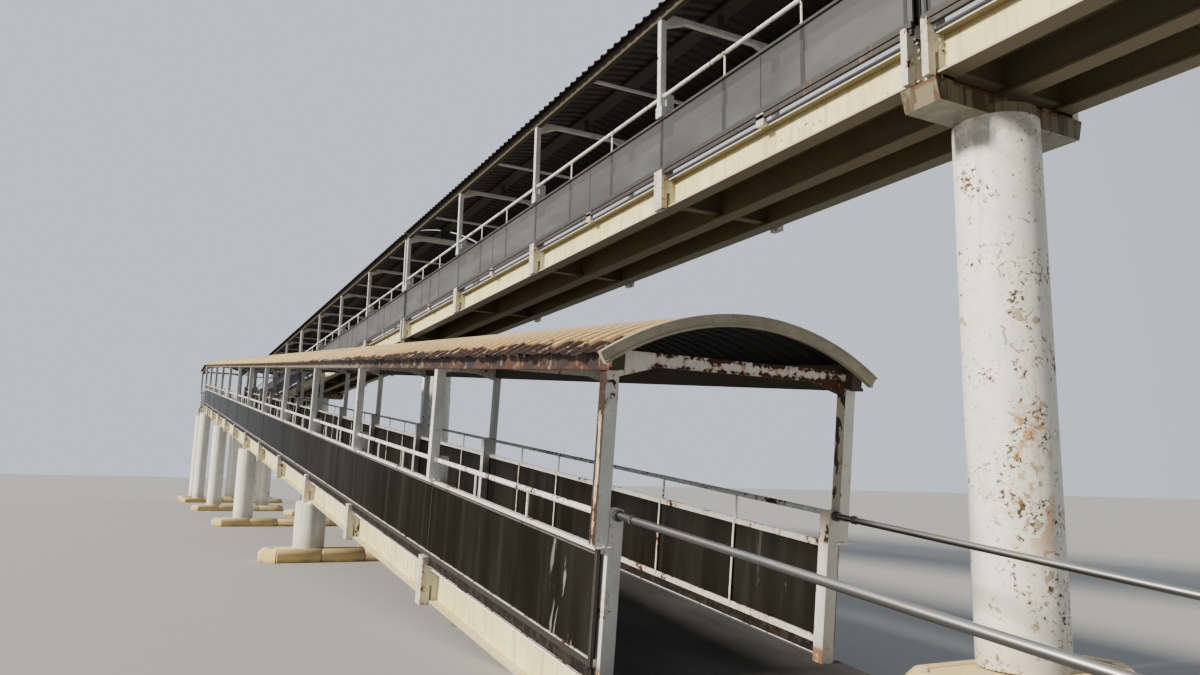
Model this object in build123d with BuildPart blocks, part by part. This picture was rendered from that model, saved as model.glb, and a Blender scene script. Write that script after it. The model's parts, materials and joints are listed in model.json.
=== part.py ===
"""Covered boarding bridge: a level walkway on single piers and a ramp beside it that climbs to
the same deck, joined by a landing. Sizes are in millimetres, at half the real size.

World frame: +X along the walkways towards the landing, +Y towards the ramp, +Z up. The origin
is the centre of the underside of one pier's plinth, and the ground is at Z = 0.
"""
import os
from math import asin, cos, sin, sqrt

from build123d import *

# Walkway lines and levels
deck_level = 2670.0            # floor of the level bridge and of the landing
ramp_foot_level = 115.0        # floor at the ramp's first frame
ramp_first_x = 392.0           # first frame of the ramp
ramp_offset = 1172.5           # centre line of the ramp, to the left of the bridge's
ramp_bays = 12
ramp_bay = 2032.0              # along the slope
bridge_bay = 2000.0
span_bays = 4                  # bays from pier to pier
spans_before = 1               # whole spans on the near side of the origin
spans_after = 3
landing_length = 2310.0        # from the bridge's last span
joint_gap = 50.0               # between neighbouring spans
frame_inset = 30.0             # from a span's end to its first frame

# Widths, from the centre line
bridge_half = 472.0            # outer face of the canopy posts
ramp_half = 572.0
girder_inset = 101.0           # from the posts' outer face to the girder's centre

# Girders and floor
flange_width = 100.0
flange = 10.0
web = 8.0
girder_top = -10.0             # below the floor plate
girder_depth = 182.0
centre_girder_drop = 15.0      # of the middle girder's foot below the outer ones
cross_depth = 158.0
cross_width = 60.0
cross_plate = 8.0

# Side frames
bridge_post = 40.0             # square canopy posts
ramp_post = 50.0
stub = 55.0                    # square post behind the panels
bracket_drop = 15.0            # below the girder
bracket_length = 88.0
joint_bracket_length = 34.0    # where two spans meet
stiffener_inset = 10.0         # from the bottom flange's edge
stub_above_handrail = 18.0
bridge_panel_foot = 45.0       # underside of the panels' bottom rail, above the floor
bridge_panel_top = 397.0
bridge_handrail = 535.0
bridge_post_foot = 466.0
bridge_post_top = 1050.0
ramp_panel_foot = 53.0
ramp_panel_top = 465.0
ramp_handrail = 579.0
ramp_post_foot = 465.0
ramp_post_top = 1085.0
bottom_rail = 28.0
bridge_top_rail = 12.0
ramp_top_rail = 24.0
rail_width = 24.0
glass = 6.0
prop_length = 60.0             # small supports under the bottom rail, midway between the frames
handrail_diameter = 24.0
handrail_sides = 6
shoe_length = 68.0             # clamps the foot of a bridge post and the ends of the pipes

# Canopy
roof_radius = 1146.0           # the same sheets, rolled once for both roofs
bridge_eave = 1113.0           # edge of the roof's outer face, above the floor
ramp_eave = 1140.0
roof_thickness = 16.0
roof_overhang = 60.0
roof_end = 60.0                # beyond the ramp's first frame
eave_clearance = 0.3
portal_width = 40.0
bridge_portal_depth = 30.0
ramp_portal_depth = 50.0
portal_haunch = 95.0
haunch_length = 160.0
portal_lift = 22.0             # of the portal's underside above the post's top
tie = 20.0                     # square tie midway between the bridge's frames
ridge_width = 120.0            # flat purlin under the bridge roof's crown
ridge_depth = 20.0
hanger = 30.0                  # square, holds the purlin over each portal beam
front_arch_depth = 48.0
front_arch_thickness = 20.0

# Piers, columns and plinths
pier_diameter = 350.0
round_sides = 24               # flats round a pier or a column
cap_length = 920.0
cap_width = 186.0
cap_depth = 93.0
cap_undercut = 24.0
cap_seat = 45.0                # of the column into the cap's underside
bearing_height = 30.0
bearing_width = 70.0
plinth_height = 120.0
plinth_width = 450.0
plinth_corner = 120.0          # cut from each corner
plinth_bevel = 38.0            # along the top edges
pier_plinth_length = 1050.0
ramp_plinth_length = 1855.0
column_diameter = 285.0
column_outset = 21.5           # outside the girder's centre
column_bays = 3                # bays between the ramp's columns
landing_pier_inset = 200.0     # from the landing's end to its piers

# Hand rails of the open toe
entry_rail_diameter = 26.0
entry_rail_post = 30.0
entry_rail_length = 1850.0
entry_rail_sides = 16

# Worked out from the sizes above
slope = asin((deck_level - ramp_foot_level) / (ramp_bays * ramp_bay))
ramp_length = ramp_bays * ramp_bay
bridge_inner = bridge_half - bridge_post       # plane between the canopy posts and the stub posts
ramp_inner = ramp_half - ramp_post
bridge_girder_y = bridge_half - girder_inset
ramp_girder_y = ramp_half - girder_inset
girder_foot = girder_top - girder_depth
bridge_walls = (bridge_half, bridge_inner, bridge_girder_y)
ramp_walls = (ramp_half, ramp_inner, ramp_girder_y)
half_gap = joint_gap / 2
first_frame = half_gap + frame_inset           # from a pier
span_length = span_bays * bridge_bay + 2 * first_frame
bridge_end = spans_after * span_length
ramp_end_x = ramp_first_x + ramp_length * cos(slope)
landing_start = bridge_end + half_gap
landing_end = bridge_end + landing_length
ramp_joint = -girder_foot * sin(slope) + joint_gap / 10   # keeps the foot of the last girder clear
roof_fall = (ramp_post_top + ramp_portal_depth) * sin(slope) - half_gap   # the ramp's canopy leans back
cap_top = deck_level + girder_foot - bearing_height

bridge = Plane(origin=(0, 0, deck_level))
level = Plane(origin=(0, ramp_offset, deck_level))     # the ramp's line, over the landing
ramp = Plane(
    origin=(ramp_first_x, ramp_offset, ramp_foot_level),
    x_dir=(cos(slope), 0, sin(slope)),
    z_dir=(-sin(slope), 0, cos(slope)),
)

# Runs and frames along each walkway
piers = [i * span_length for i in range(-spans_before, spans_after + 1)]
bridge_runs = [(a + half_gap, b - half_gap) for a, b in zip(piers, piers[1:])]
span_frames = [[a + first_frame + i * bridge_bay for i in range(span_bays + 1)] for a in piers[:-1]]
bridge_frames = [x for frames in span_frames for x in frames]
joint_frames = [x for frames in span_frames for x in (frames[0], frames[-1])]
inner_frames = [x for frames in span_frames for x in frames[1:-1]]
ramp_runs = [(0, ramp_length - ramp_joint)]
ramp_frames = [i * ramp_bay for i in range(ramp_bays)] + [ramp_length - ramp_joint - frame_inset]
landing_frames = [landing_start + frame_inset, ramp_end_x + frame_inset, landing_end - frame_inset]
landing_runs = [(landing_start, landing_end)]
level_frames = landing_frames[1:]
level_runs = [(ramp_end_x, landing_end)]


def between(stations):
    """Places midway between neighbouring frames."""
    return [(a + b) / 2 for a, b in zip(stations, stations[1:])]


def square_to(walk, along):
    """Plane square to a walkway: X to the left, Y up, and its normal along the walkway."""
    return Plane(origin=walk.from_local_coords((along, 0, 0)), x_dir=walk.y_dir, z_dir=walk.x_dir)


def floor_at(walk, up):
    """Plane parallel to a walkway's floor."""
    return Plane(origin=walk.from_local_coords((0, 0, up)), x_dir=walk.x_dir, z_dir=walk.z_dir)


def beside(walk, left):
    """Upright plane along a walkway: X along it, Y up, and its normal to the right."""
    return Plane(origin=walk.from_local_coords((0, left, 0)), x_dir=walk.x_dir, z_dir=-walk.y_dir)


def box_section(right, left, foot, top):
    """Rectangle between two sideways places and two heights, in the sketch at hand."""
    with Locations(((left + right) / 2, (foot + top) / 2)):
        Rectangle(abs(left - right), top - foot)


def i_section(middle, foot, top):
    """Upright I in the sketch at hand."""
    box_section(middle - flange_width / 2, middle + flange_width / 2, foot, foot + flange)
    box_section(middle - flange_width / 2, middle + flange_width / 2, top - flange, top)
    box_section(middle - web / 2, middle + web / 2, foot + flange, top - flange)


def girders(walk, runs, places, foot=girder_foot):
    """Girders at the given distances from the centre line, for each run."""
    with BuildPart() as beams:
        for start, end in runs:
            with BuildSketch(square_to(walk, start)):
                for middle in places:
                    i_section(middle, foot, girder_top)
            extrude(amount=end - start)
    return beams


def cross_beams(walk, stations, right, left, girders_met):
    """Floor beams from web to web, close under the girders' top flanges: a plate on a bottom flange."""
    foot = girder_top - cross_depth
    with BuildPart() as beams:
        with BuildSketch(beside(walk, left)):
            for along in stations:
                box_section(along - cross_width / 2, along + cross_width / 2, foot, foot + cross_plate)
                box_section(along - cross_plate / 2, along + cross_plate / 2, foot + cross_plate,
                            girder_top - flange)
        extrude(amount=left - right)
        for girder in girders_met:
            add(girder.part, mode=Mode.SUBTRACT)
    return beams


def floor_plates(walk, runs, reach):
    """Floor on the girders and the cross beams."""
    with BuildPart() as plates:
        for start, end in runs:
            with BuildSketch(square_to(walk, start)):
                box_section(-reach, reach, girder_top, 0)
            extrude(amount=end - start)
    return plates


def brackets(walk, stations, walls, length, panel_foot, sides=(1, -1)):
    """Outriggers on the girders: an upright under the panels, its arm and the web stiffener."""
    half, inner, girder_y = walls
    face = girder_y + web / 2
    arm_foot = girder_foot + girder_depth / 2
    edge = girder_y + flange_width / 2 - stiffener_inset
    with BuildPart() as arms:
        for along in stations:
            with BuildSketch(square_to(walk, along - length / 2)):
                for side in sides:
                    box_section(side * inner, side * half, girder_foot - bracket_drop, panel_foot)
                    box_section(side * face, side * inner, arm_foot, girder_top - flange)
                    box_section(side * face, side * edge, girder_foot + flange, arm_foot)
            extrude(amount=length)
    return arms


def posts(walk, stations, middle, size, foot, top, sides=(1, -1)):
    """Square posts at each frame, their centres at one distance from the centre line."""
    return uprights(walk, stations, middle, size, size, foot, top, sides)


def uprights(walk, stations, middle, length, width, foot, top, sides=(1, -1)):
    """Upright blocks on both sides of a walkway."""
    with BuildPart() as blocks:
        with BuildSketch(floor_at(walk, foot)):
            with Locations([(along, side * middle) for along in stations for side in sides]):
                Rectangle(length, width)
        extrude(amount=top - foot)
    return blocks


def rail_props(walk, stations, inner, girder_y, panel_foot):
    """Small supports of the panels' bottom rail, bent from plate and fixed to the girders' flanges."""
    edge, outer = girder_y + flange_width / 2, inner + rail_width
    with BuildPart() as props:
        for along in stations:
            with BuildSketch(square_to(walk, along - prop_length / 2)):
                for side in (1, -1):
                    box_section(side * edge, side * outer, girder_top - flange, girder_top)
                    box_section(side * inner, side * outer, girder_top, panel_foot)
            extrude(amount=prop_length)
    return props


def panel_sheets(walk, runs, inner, foot, top, top_rail, sides=(1, -1)):
    """Glass between the bottom and the top rail."""
    middle = inner + rail_width / 2
    with BuildPart() as sheets:
        for start, end in runs:
            with BuildSketch(square_to(walk, start)):
                for side in sides:
                    box_section(side * middle - glass / 2, side * middle + glass / 2,
                                foot + bottom_rail, top - top_rail)
            extrude(amount=end - start)
    return sheets


def panel_rails(walk, runs, inner, foot, top, top_rail, sides=(1, -1)):
    """Bottom and top rail of the panels."""
    with BuildPart() as rails:
        for start, end in runs:
            with BuildSketch(square_to(walk, start)):
                for side in sides:
                    right, left = side * inner, side * (inner + rail_width)
                    box_section(right, left, foot, foot + bottom_rail)
                    box_section(right, left, top - top_rail, top)
            extrude(amount=end - start)
    return rails


def handrails(walk, stations, inner, height, end_room, sides=(1, -1)):
    """Pipes from post to post, over the panels' top rail."""
    middle = inner + rail_width / 2
    with BuildPart() as pipes:
        for start, end in zip(stations, stations[1:]):
            with BuildSketch(square_to(walk, start + end_room / 2)):
                with Locations([(side * middle, height) for side in sides]):
                    RegularPolygon(handrail_diameter / 2, handrail_sides, major_radius=False, rotation=30)
            extrude(amount=end - start - end_room)
    return pipes


def crown(half, eave):
    """Height of the roof's top over a walkway."""
    chord = half + roof_overhang
    return eave + roof_radius - sqrt(roof_radius * roof_radius - chord * chord)


def arch_section(half, eave, depth):
    """Ring between the eaves in the sketch at hand, its ends square to the arc."""
    reach = 2 * (half + roof_overhang)
    top = crown(half, eave)
    drop = 2 * (eave + roof_radius - top)
    with Locations((0, top - roof_radius)):
        Circle(roof_radius)
        Circle(roof_radius - depth, mode=Mode.SUBTRACT)
        Polygon((0, 0), (reach, drop), (reach, drop + reach), (-reach, drop + reach), (-reach, drop),
                align=None, mode=Mode.INTERSECT)


def roof(walk, runs, half, eave):
    """Arched roof sheets, one shell for each run."""
    with BuildPart() as shells:
        for start, end in runs:
            with BuildSketch(square_to(walk, start)):
                arch_section(half, eave, roof_thickness)
            extrude(amount=end - start)
    return shells


def eave_beams(walk, runs, half, inner, foot, eave):
    """Beams on the posts, their tops cut to the roof's underside."""
    top = crown(half, eave)
    with BuildPart() as beams:
        for start, end in runs:
            with BuildSketch(square_to(walk, start)):
                for side in (1, -1):
                    box_section(side * inner, side * half, foot, top)
                with Locations((0, top - roof_radius)):
                    Circle(roof_radius - roof_thickness - eave_clearance, mode=Mode.INTERSECT)
            extrude(amount=end - start)
    return beams


def portal_beams(walk, stations, reach, post_top, depth):
    """Cross beams of the canopy between the posts, haunched at their ends."""
    under = post_top + portal_lift
    top = under + depth
    with BuildPart() as beams:
        for along in stations:
            with BuildSketch(square_to(walk, along - portal_width / 2)):
                Polygon(
                    (-reach, top), (-reach, top - portal_haunch), (haunch_length - reach, under),
                    (reach - haunch_length, under), (reach, top - portal_haunch), (reach, top),
                    align=None,
                )
            extrude(amount=portal_width)
    return beams


def plinths(places, length):
    """Low plinths across the walkway, with cut corners and bevelled top edges."""
    with BuildPart() as blocks:
        with BuildSketch():
            with Locations(places):
                Rectangle(plinth_width, length)
            chamfer(vertices(), plinth_corner)
        extrude(amount=plinth_height)
        chamfer(edges().group_by(Axis.Z)[-1], plinth_bevel)
    return blocks


os.makedirs("parts", exist_ok=True)

# Level bridge: supports. The last piers stand on plinths that they share with the ramp's columns.
shared_xs = [bridge_end, landing_end - landing_pier_inset]
pier_places = [(x, 0) for x in piers + shared_xs[1:]]

bridge_plinths = plinths([(x, 0) for x in piers[:-1]], pier_plinth_length)
bridge_plinths.part.label = "bridge_plinths"
export_step(bridge_plinths.part, "parts/bridge_plinths.step")

with BuildPart() as bridge_piers:
    with BuildSketch(Plane.XY.offset(plinth_height)):
        with Locations(pier_places):
            RegularPolygon(pier_diameter / 2, round_sides)
    extrude(amount=cap_top - cap_depth + cap_seat - plinth_height)
    for x, y in pier_places:
        with BuildSketch(Plane(origin=(x - cap_width / 2, y, cap_top), x_dir=(0, 1, 0), z_dir=(1, 0, 0))):
            Polygon(
                (-cap_length / 2, 0), (cap_undercut - cap_length / 2, -cap_depth),
                (cap_length / 2 - cap_undercut, -cap_depth), (cap_length / 2, 0),
                align=None,
            )
        extrude(amount=cap_width)
bridge_piers.part.label = "bridge_piers"
export_step(bridge_piers.part, "parts/bridge_piers.step")

outer_girders = (bridge_girder_y, -bridge_girder_y)
landing_bearing_xs = [landing_frames[0], shared_xs[1]]
with BuildPart() as bridge_bearings:
    with BuildSketch(Plane.XY.offset(cap_top)):
        with Locations([(x, y) for x in joint_frames + landing_bearing_xs for y in outer_girders]):
            Rectangle(2 * frame_inset, bearing_width)
    extrude(amount=bearing_height)
    with BuildSketch(Plane.XY.offset(cap_top)):
        with Locations([(x, 0) for x in joint_frames + landing_bearing_xs]):
            Rectangle(2 * frame_inset, bearing_width)
    extrude(amount=bearing_height - centre_girder_drop)
bridge_bearings.part.label = "bridge_bearings"
export_step(bridge_bearings.part, "parts/bridge_bearings.step")

# Level bridge: floor
bridge_girders = girders(bridge, bridge_runs, outer_girders)
bridge_girders.part.label = "bridge_girders"
export_step(bridge_girders.part, "parts/bridge_girders.step")

bridge_centre_girder = girders(bridge, bridge_runs, (0,), girder_foot - centre_girder_drop)
bridge_centre_girder.part.label = "bridge_centre_girder"
export_step(bridge_centre_girder.part, "parts/bridge_centre_girder.step")

bridge_reach = bridge_girder_y - web / 2
bridge_cross_beams = cross_beams(bridge, bridge_frames, -bridge_reach, bridge_reach,
                                 (bridge_girders, bridge_centre_girder))
bridge_cross_beams.part.label = "bridge_cross_beams"
export_step(bridge_cross_beams.part, "parts/bridge_cross_beams.step")

bridge_deck = floor_plates(bridge, bridge_runs, bridge_inner)
bridge_deck.part.label = "bridge_deck"
export_step(bridge_deck.part, "parts/bridge_deck.step")

# Level bridge: sides
with BuildPart() as bridge_brackets:
    add(brackets(bridge, inner_frames + level_frames[:1], bridge_walls, bracket_length, bridge_panel_foot,
                 sides=(-1,)).part)
    add(brackets(bridge, inner_frames, bridge_walls, bracket_length, bridge_panel_foot, sides=(1,)).part)
    add(brackets(bridge, joint_frames + landing_frames[::2], bridge_walls, joint_bracket_length,
                 bridge_panel_foot, sides=(-1,)).part)
    add(brackets(bridge, joint_frames + landing_frames[:1], bridge_walls, joint_bracket_length,
                 bridge_panel_foot, sides=(1,)).part)
bridge_brackets.part.label = "bridge_brackets"
export_step(bridge_brackets.part, "parts/bridge_brackets.step")

bridge_stub_middle = bridge_inner - stub / 2
bridge_stub_top = bridge_handrail + stub_above_handrail
bridge_stub_posts = posts(bridge, bridge_frames + landing_frames, bridge_stub_middle, stub, 0, bridge_stub_top)
bridge_stub_posts.part.label = "bridge_stub_posts"
export_step(bridge_stub_posts.part, "parts/bridge_stub_posts.step")

bridge_prop_xs = [x for frames in span_frames for x in between(frames)]
bridge_rail_props = rail_props(bridge, bridge_prop_xs, bridge_inner, bridge_girder_y, bridge_panel_foot)
bridge_rail_props.part.label = "bridge_rail_props"
export_step(bridge_rail_props.part, "parts/bridge_rail_props.step")

bridge_panel_sizes = (bridge_inner, bridge_panel_foot, bridge_panel_top, bridge_top_rail)
bridge_panels = panel_sheets(bridge, bridge_runs, *bridge_panel_sizes)
bridge_panels.part.label = "bridge_panels"
export_step(bridge_panels.part, "parts/bridge_panels.step")

bridge_panel_rails = panel_rails(bridge, bridge_runs, *bridge_panel_sizes)
bridge_panel_rails.part.label = "bridge_panel_rails"
export_step(bridge_panel_rails.part, "parts/bridge_panel_rails.step")

bridge_post_shoes = uprights(bridge, bridge_frames + landing_frames, (bridge_half + bridge_inner) / 2,
                             shoe_length, bridge_post, bridge_panel_top, bridge_post_foot)
bridge_post_shoes.part.label = "bridge_post_shoes"
export_step(bridge_post_shoes.part, "parts/bridge_post_shoes.step")

bridge_rail_sizes = (bridge_inner, bridge_handrail, bridge_post)
with BuildPart() as bridge_handrails:
    for frames in span_frames:
        add(handrails(bridge, frames, *bridge_rail_sizes).part)
bridge_handrails.part.label = "bridge_handrails"
export_step(bridge_handrails.part, "parts/bridge_handrails.step")

# Level bridge: canopy
bridge_canopy_posts = posts(bridge, bridge_frames + landing_frames, bridge_half - bridge_post / 2, bridge_post,
                            bridge_post_foot, bridge_post_top)
bridge_canopy_posts.part.label = "bridge_canopy_posts"
export_step(bridge_canopy_posts.part, "parts/bridge_canopy_posts.step")

bridge_portal_beams = portal_beams(bridge, bridge_frames + landing_frames, bridge_inner, bridge_post_top,
                                   bridge_portal_depth)
bridge_portal_beams.part.label = "bridge_portal_beams"
export_step(bridge_portal_beams.part, "parts/bridge_portal_beams.step")

bridge_ties = uprights(bridge, bridge_prop_xs, 0, tie, 2 * bridge_inner, bridge_post_top, bridge_post_top + tie,
                       sides=(1,))
bridge_ties.part.label = "bridge_ties"
export_step(bridge_ties.part, "parts/bridge_ties.step")

ridge_top = crown(bridge_half, bridge_eave) - roof_thickness - ridge_width ** 2 / (8 * roof_radius) - 1
with BuildPart() as bridge_ridge:
    for start, end in bridge_runs + landing_runs:
        with BuildSketch(square_to(bridge, start)):
            box_section(-ridge_width / 2, ridge_width / 2, ridge_top - ridge_depth, ridge_top)
        extrude(amount=end - start)
bridge_ridge.part.label = "bridge_ridge"
export_step(bridge_ridge.part, "parts/bridge_ridge.step")

portal_top = bridge_post_top + portal_lift + bridge_portal_depth
bridge_ridge_hangers = posts(bridge, bridge_frames + landing_frames, 0, hanger, portal_top,
                             ridge_top - ridge_depth, sides=(1,))
bridge_ridge_hangers.part.label = "bridge_ridge_hangers"
export_step(bridge_ridge_hangers.part, "parts/bridge_ridge_hangers.step")

bridge_eave_beams = eave_beams(bridge, bridge_runs + landing_runs, bridge_half, bridge_inner, bridge_post_top,
                               bridge_eave)
bridge_eave_beams.part.label = "bridge_eave_beams"
export_step(bridge_eave_beams.part, "parts/bridge_eave_beams.step")

bridge_roof = roof(bridge, bridge_runs + landing_runs, bridge_half, bridge_eave)
bridge_roof.part.label = "bridge_roof"
export_step(bridge_roof.part, "parts/bridge_roof.step")

# Ramp: supports. The last pairs stand in line with the bridge's piers.
column_y = ramp_girder_y + column_outset
column_xs = [ramp_first_x + i * ramp_bay * cos(slope) for i in range(column_bays, ramp_bays, column_bays)]

ramp_plinths = plinths([(x, ramp_offset) for x in column_xs], ramp_plinth_length)
ramp_plinths.part.label = "ramp_plinths"
export_step(ramp_plinths.part, "parts/ramp_plinths.step")

plinth_right, plinth_left = -pier_plinth_length / 2, ramp_offset + ramp_plinth_length / 2
shared_plinths = plinths([(x, (plinth_left + plinth_right) / 2) for x in shared_xs], plinth_left - plinth_right)
shared_plinths.part.label = "shared_plinths"
export_step(shared_plinths.part, "parts/shared_plinths.step")

with BuildPart() as ramp_columns:
    with BuildSketch(Plane.XY.offset(plinth_height)):
        with Locations([(x, ramp_offset + side * column_y) for x in column_xs + shared_xs for side in (1, -1)]):
            RegularPolygon(column_diameter / 2, round_sides)
    extrude(amount=deck_level + girder_foot - plinth_height)
    beyond = column_y + column_diameter
    with BuildSketch(square_to(ramp, 0)):
        box_section(-beyond, beyond, girder_foot, deck_level)
        for side in (1, -1):
            box_section(side * ramp_inner, side * beyond, girder_foot - bracket_drop, deck_level)
    extrude(amount=ramp_length - ramp_joint, mode=Mode.SUBTRACT)
    with BuildSketch(square_to(level, ramp_end_x)):
        for side in (1, -1):
            box_section(side * ramp_inner, side * beyond, girder_foot - bracket_drop, girder_foot)
    extrude(amount=landing_length, mode=Mode.SUBTRACT)
ramp_columns.part.label = "ramp_columns"
export_step(ramp_columns.part, "parts/ramp_columns.step")

# Ramp: floor. What would lie below the ground is cut off level with it.
ramp_outer_girders = (ramp_girder_y, -ramp_girder_y)
ramp_girders = girders(ramp, ramp_runs, ramp_outer_girders)
with ramp_girders:
    split(bisect_by=Plane.XY, keep=Keep.TOP)
ramp_girders.part.label = "ramp_girders"
export_step(ramp_girders.part, "parts/ramp_girders.step")

ramp_reach = ramp_girder_y - web / 2
ramp_cross_beams = cross_beams(ramp, ramp_frames[1:], -ramp_reach, ramp_reach, (ramp_girders,))
ramp_cross_beams.part.label = "ramp_cross_beams"
export_step(ramp_cross_beams.part, "parts/ramp_cross_beams.step")

ramp_deck = floor_plates(ramp, ramp_runs, ramp_inner)
ramp_deck.part.label = "ramp_deck"
export_step(ramp_deck.part, "parts/ramp_deck.step")

with BuildPart() as ramp_toe:
    with BuildSketch(Plane(origin=(0, ramp_offset + ramp_half, 0), x_dir=(1, 0, 0), z_dir=(0, -1, 0))):
        Polygon(
            (ramp_first_x - ramp_foot_level * cos(slope) / sin(slope), 0),
            (ramp_first_x, 0),
            (ramp_first_x, ramp_foot_level),
            align=None,
        )
    extrude(amount=2 * ramp_half)
ramp_toe.part.label = "ramp_toe"
export_step(ramp_toe.part, "parts/ramp_toe.step")

# Ramp: sides
with BuildPart() as ramp_brackets:
    add(brackets(ramp, ramp_frames[1:-1], ramp_walls, bracket_length, ramp_panel_foot).part)
    add(brackets(ramp, ramp_frames[-1:], ramp_walls, joint_bracket_length, ramp_panel_foot).part)
    add(brackets(level, level_frames, ramp_walls, joint_bracket_length, bridge_panel_foot, sides=(1,)).part)
ramp_brackets.part.label = "ramp_brackets"
export_step(ramp_brackets.part, "parts/ramp_brackets.step")

ramp_stub_middle = ramp_inner - stub / 2
with BuildPart() as ramp_stub_posts:
    add(posts(ramp, ramp_frames, ramp_stub_middle, stub, 0, ramp_handrail + stub_above_handrail).part)
    add(posts(level, level_frames, ramp_stub_middle, stub, 0, bridge_stub_top).part)
ramp_stub_posts.part.label = "ramp_stub_posts"
export_step(ramp_stub_posts.part, "parts/ramp_stub_posts.step")

ramp_panel_sizes = (ramp_inner, ramp_panel_foot, ramp_panel_top, ramp_top_rail)
ramp_panels = panel_sheets(ramp, ramp_runs, *ramp_panel_sizes)
ramp_panels.part.label = "ramp_panels"
export_step(ramp_panels.part, "parts/ramp_panels.step")

ramp_panel_rails = panel_rails(ramp, ramp_runs, *ramp_panel_sizes)
ramp_panel_rails.part.label = "ramp_panel_rails"
export_step(ramp_panel_rails.part, "parts/ramp_panel_rails.step")

ramp_handrails = handrails(ramp, ramp_frames, ramp_inner, ramp_handrail, ramp_post)
ramp_handrails.part.label = "ramp_handrails"
export_step(ramp_handrails.part, "parts/ramp_handrails.step")

# Ramp: canopy
ramp_post_middle = ramp_half - ramp_post / 2
with BuildPart() as ramp_canopy_posts:
    add(posts(ramp, ramp_frames, ramp_post_middle, ramp_post, ramp_post_foot, ramp_post_top).part)
    add(posts(level, level_frames, ramp_post_middle, ramp_post, bridge_post_foot, ramp_post_top).part)
ramp_canopy_posts.part.label = "ramp_canopy_posts"
export_step(ramp_canopy_posts.part, "parts/ramp_canopy_posts.step")

with BuildPart() as ramp_portal_beams:
    add(portal_beams(ramp, ramp_frames, ramp_inner, ramp_post_top, ramp_portal_depth).part)
    add(portal_beams(level, level_frames, ramp_inner, ramp_post_top, ramp_portal_depth).part)
ramp_portal_beams.part.label = "ramp_portal_beams"
export_step(ramp_portal_beams.part, "parts/ramp_portal_beams.step")

ramp_roof_runs = [(-roof_end, ramp_length - ramp_joint)]
level_roof_runs = [(ramp_end_x - roof_fall, landing_end)]
with BuildPart() as ramp_eave_beams:
    add(eave_beams(ramp, ramp_roof_runs, ramp_half, ramp_inner, ramp_post_top, ramp_eave).part)
    add(eave_beams(level, level_roof_runs, ramp_half, ramp_inner, ramp_post_top, ramp_eave).part)
ramp_eave_beams.part.label = "ramp_eave_beams"
export_step(ramp_eave_beams.part, "parts/ramp_eave_beams.step")

with BuildPart() as ramp_roof:
    add(roof(ramp, ramp_roof_runs, ramp_half, ramp_eave).part)
    add(roof(level, level_roof_runs, ramp_half, ramp_eave).part)
ramp_roof.part.label = "ramp_roof"
export_step(ramp_roof.part, "parts/ramp_roof.step")

with BuildPart() as ramp_front_arch:
    with BuildSketch(square_to(ramp, -roof_end - front_arch_thickness)):
        arch_section(ramp_half, ramp_eave, front_arch_depth)
    extrude(amount=front_arch_thickness)
ramp_front_arch.part.label = "ramp_front_arch"
export_step(ramp_front_arch.part, "parts/ramp_front_arch.step")

# Open toe: round rails from the first stub posts down to posts that stand on the ground
rail_start = -stub / 2
rail_end = rail_start - entry_rail_length
rail_post_x = ramp_first_x + (rail_end + entry_rail_post) * cos(slope) - ramp_handrail * sin(slope)
rail_post_top = ramp_foot_level + (rail_end + entry_rail_post) * sin(slope) + ramp_handrail * cos(slope)
with BuildPart() as entry_rails:
    with BuildSketch(square_to(ramp, rail_end)):
        with Locations([(side * ramp_stub_middle, ramp_handrail) for side in (1, -1)]):
            RegularPolygon(entry_rail_diameter / 2, entry_rail_sides)
    extrude(amount=rail_start - rail_end)
    with BuildSketch():
        with Locations([(rail_post_x, ramp_offset + side * ramp_stub_middle) for side in (1, -1)]):
            RegularPolygon(entry_rail_post / 2, entry_rail_sides)
    extrude(amount=rail_post_top)
entry_rails.part.label = "entry_rails"
export_step(entry_rails.part, "parts/entry_rails.step")

# Landing: the bridge's line and the ramp's line run on side by side, with a floor between them
with BuildPart() as landing_girders:
    add(girders(bridge, landing_runs, outer_girders).part)
    add(girders(bridge, landing_runs, (0,), girder_foot - centre_girder_drop).part)
    add(girders(level, level_runs, ramp_outer_girders).part)
landing_girders.part.label = "landing_girders"
export_step(landing_girders.part, "parts/landing_girders.step")

with BuildPart() as landing_cross_beams:
    add(cross_beams(bridge, landing_frames[:1], -bridge_reach, bridge_reach, (landing_girders,)).part)
    add(cross_beams(bridge, level_frames, -bridge_reach, ramp_offset + ramp_reach, (landing_girders,)).part)
landing_cross_beams.part.label = "landing_cross_beams"
export_step(landing_cross_beams.part, "parts/landing_cross_beams.step")

slab_left = ramp_offset + ramp_inner
with BuildPart() as landing_deck:
    with BuildSketch(floor_at(bridge, girder_top)):
        box_section(landing_start, landing_end, -bridge_inner, bridge_inner)
        box_section(ramp_end_x, landing_end, bridge_inner, slab_left)
    extrude(amount=-girder_top)
landing_deck.part.label = "landing_deck"
export_step(landing_deck.part, "parts/landing_deck.step")

# The far end and the short link get panels too, against the landing's stub posts
end_face = landing_frames[-1] + stub / 2
link_face = landing_frames[1] - stub / 2
across_end = Plane(origin=(end_face - bridge_inner, 0, deck_level), x_dir=(0, 1, 0), z_dir=(0, 0, 1))
across_link = Plane(origin=(link_face + bridge_inner, 0, deck_level), x_dir=(0, 1, 0), z_dir=(0, 0, 1))
link_run = (bridge_inner + rail_width, ramp_offset - ramp_stub_middle + stub / 2)


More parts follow.
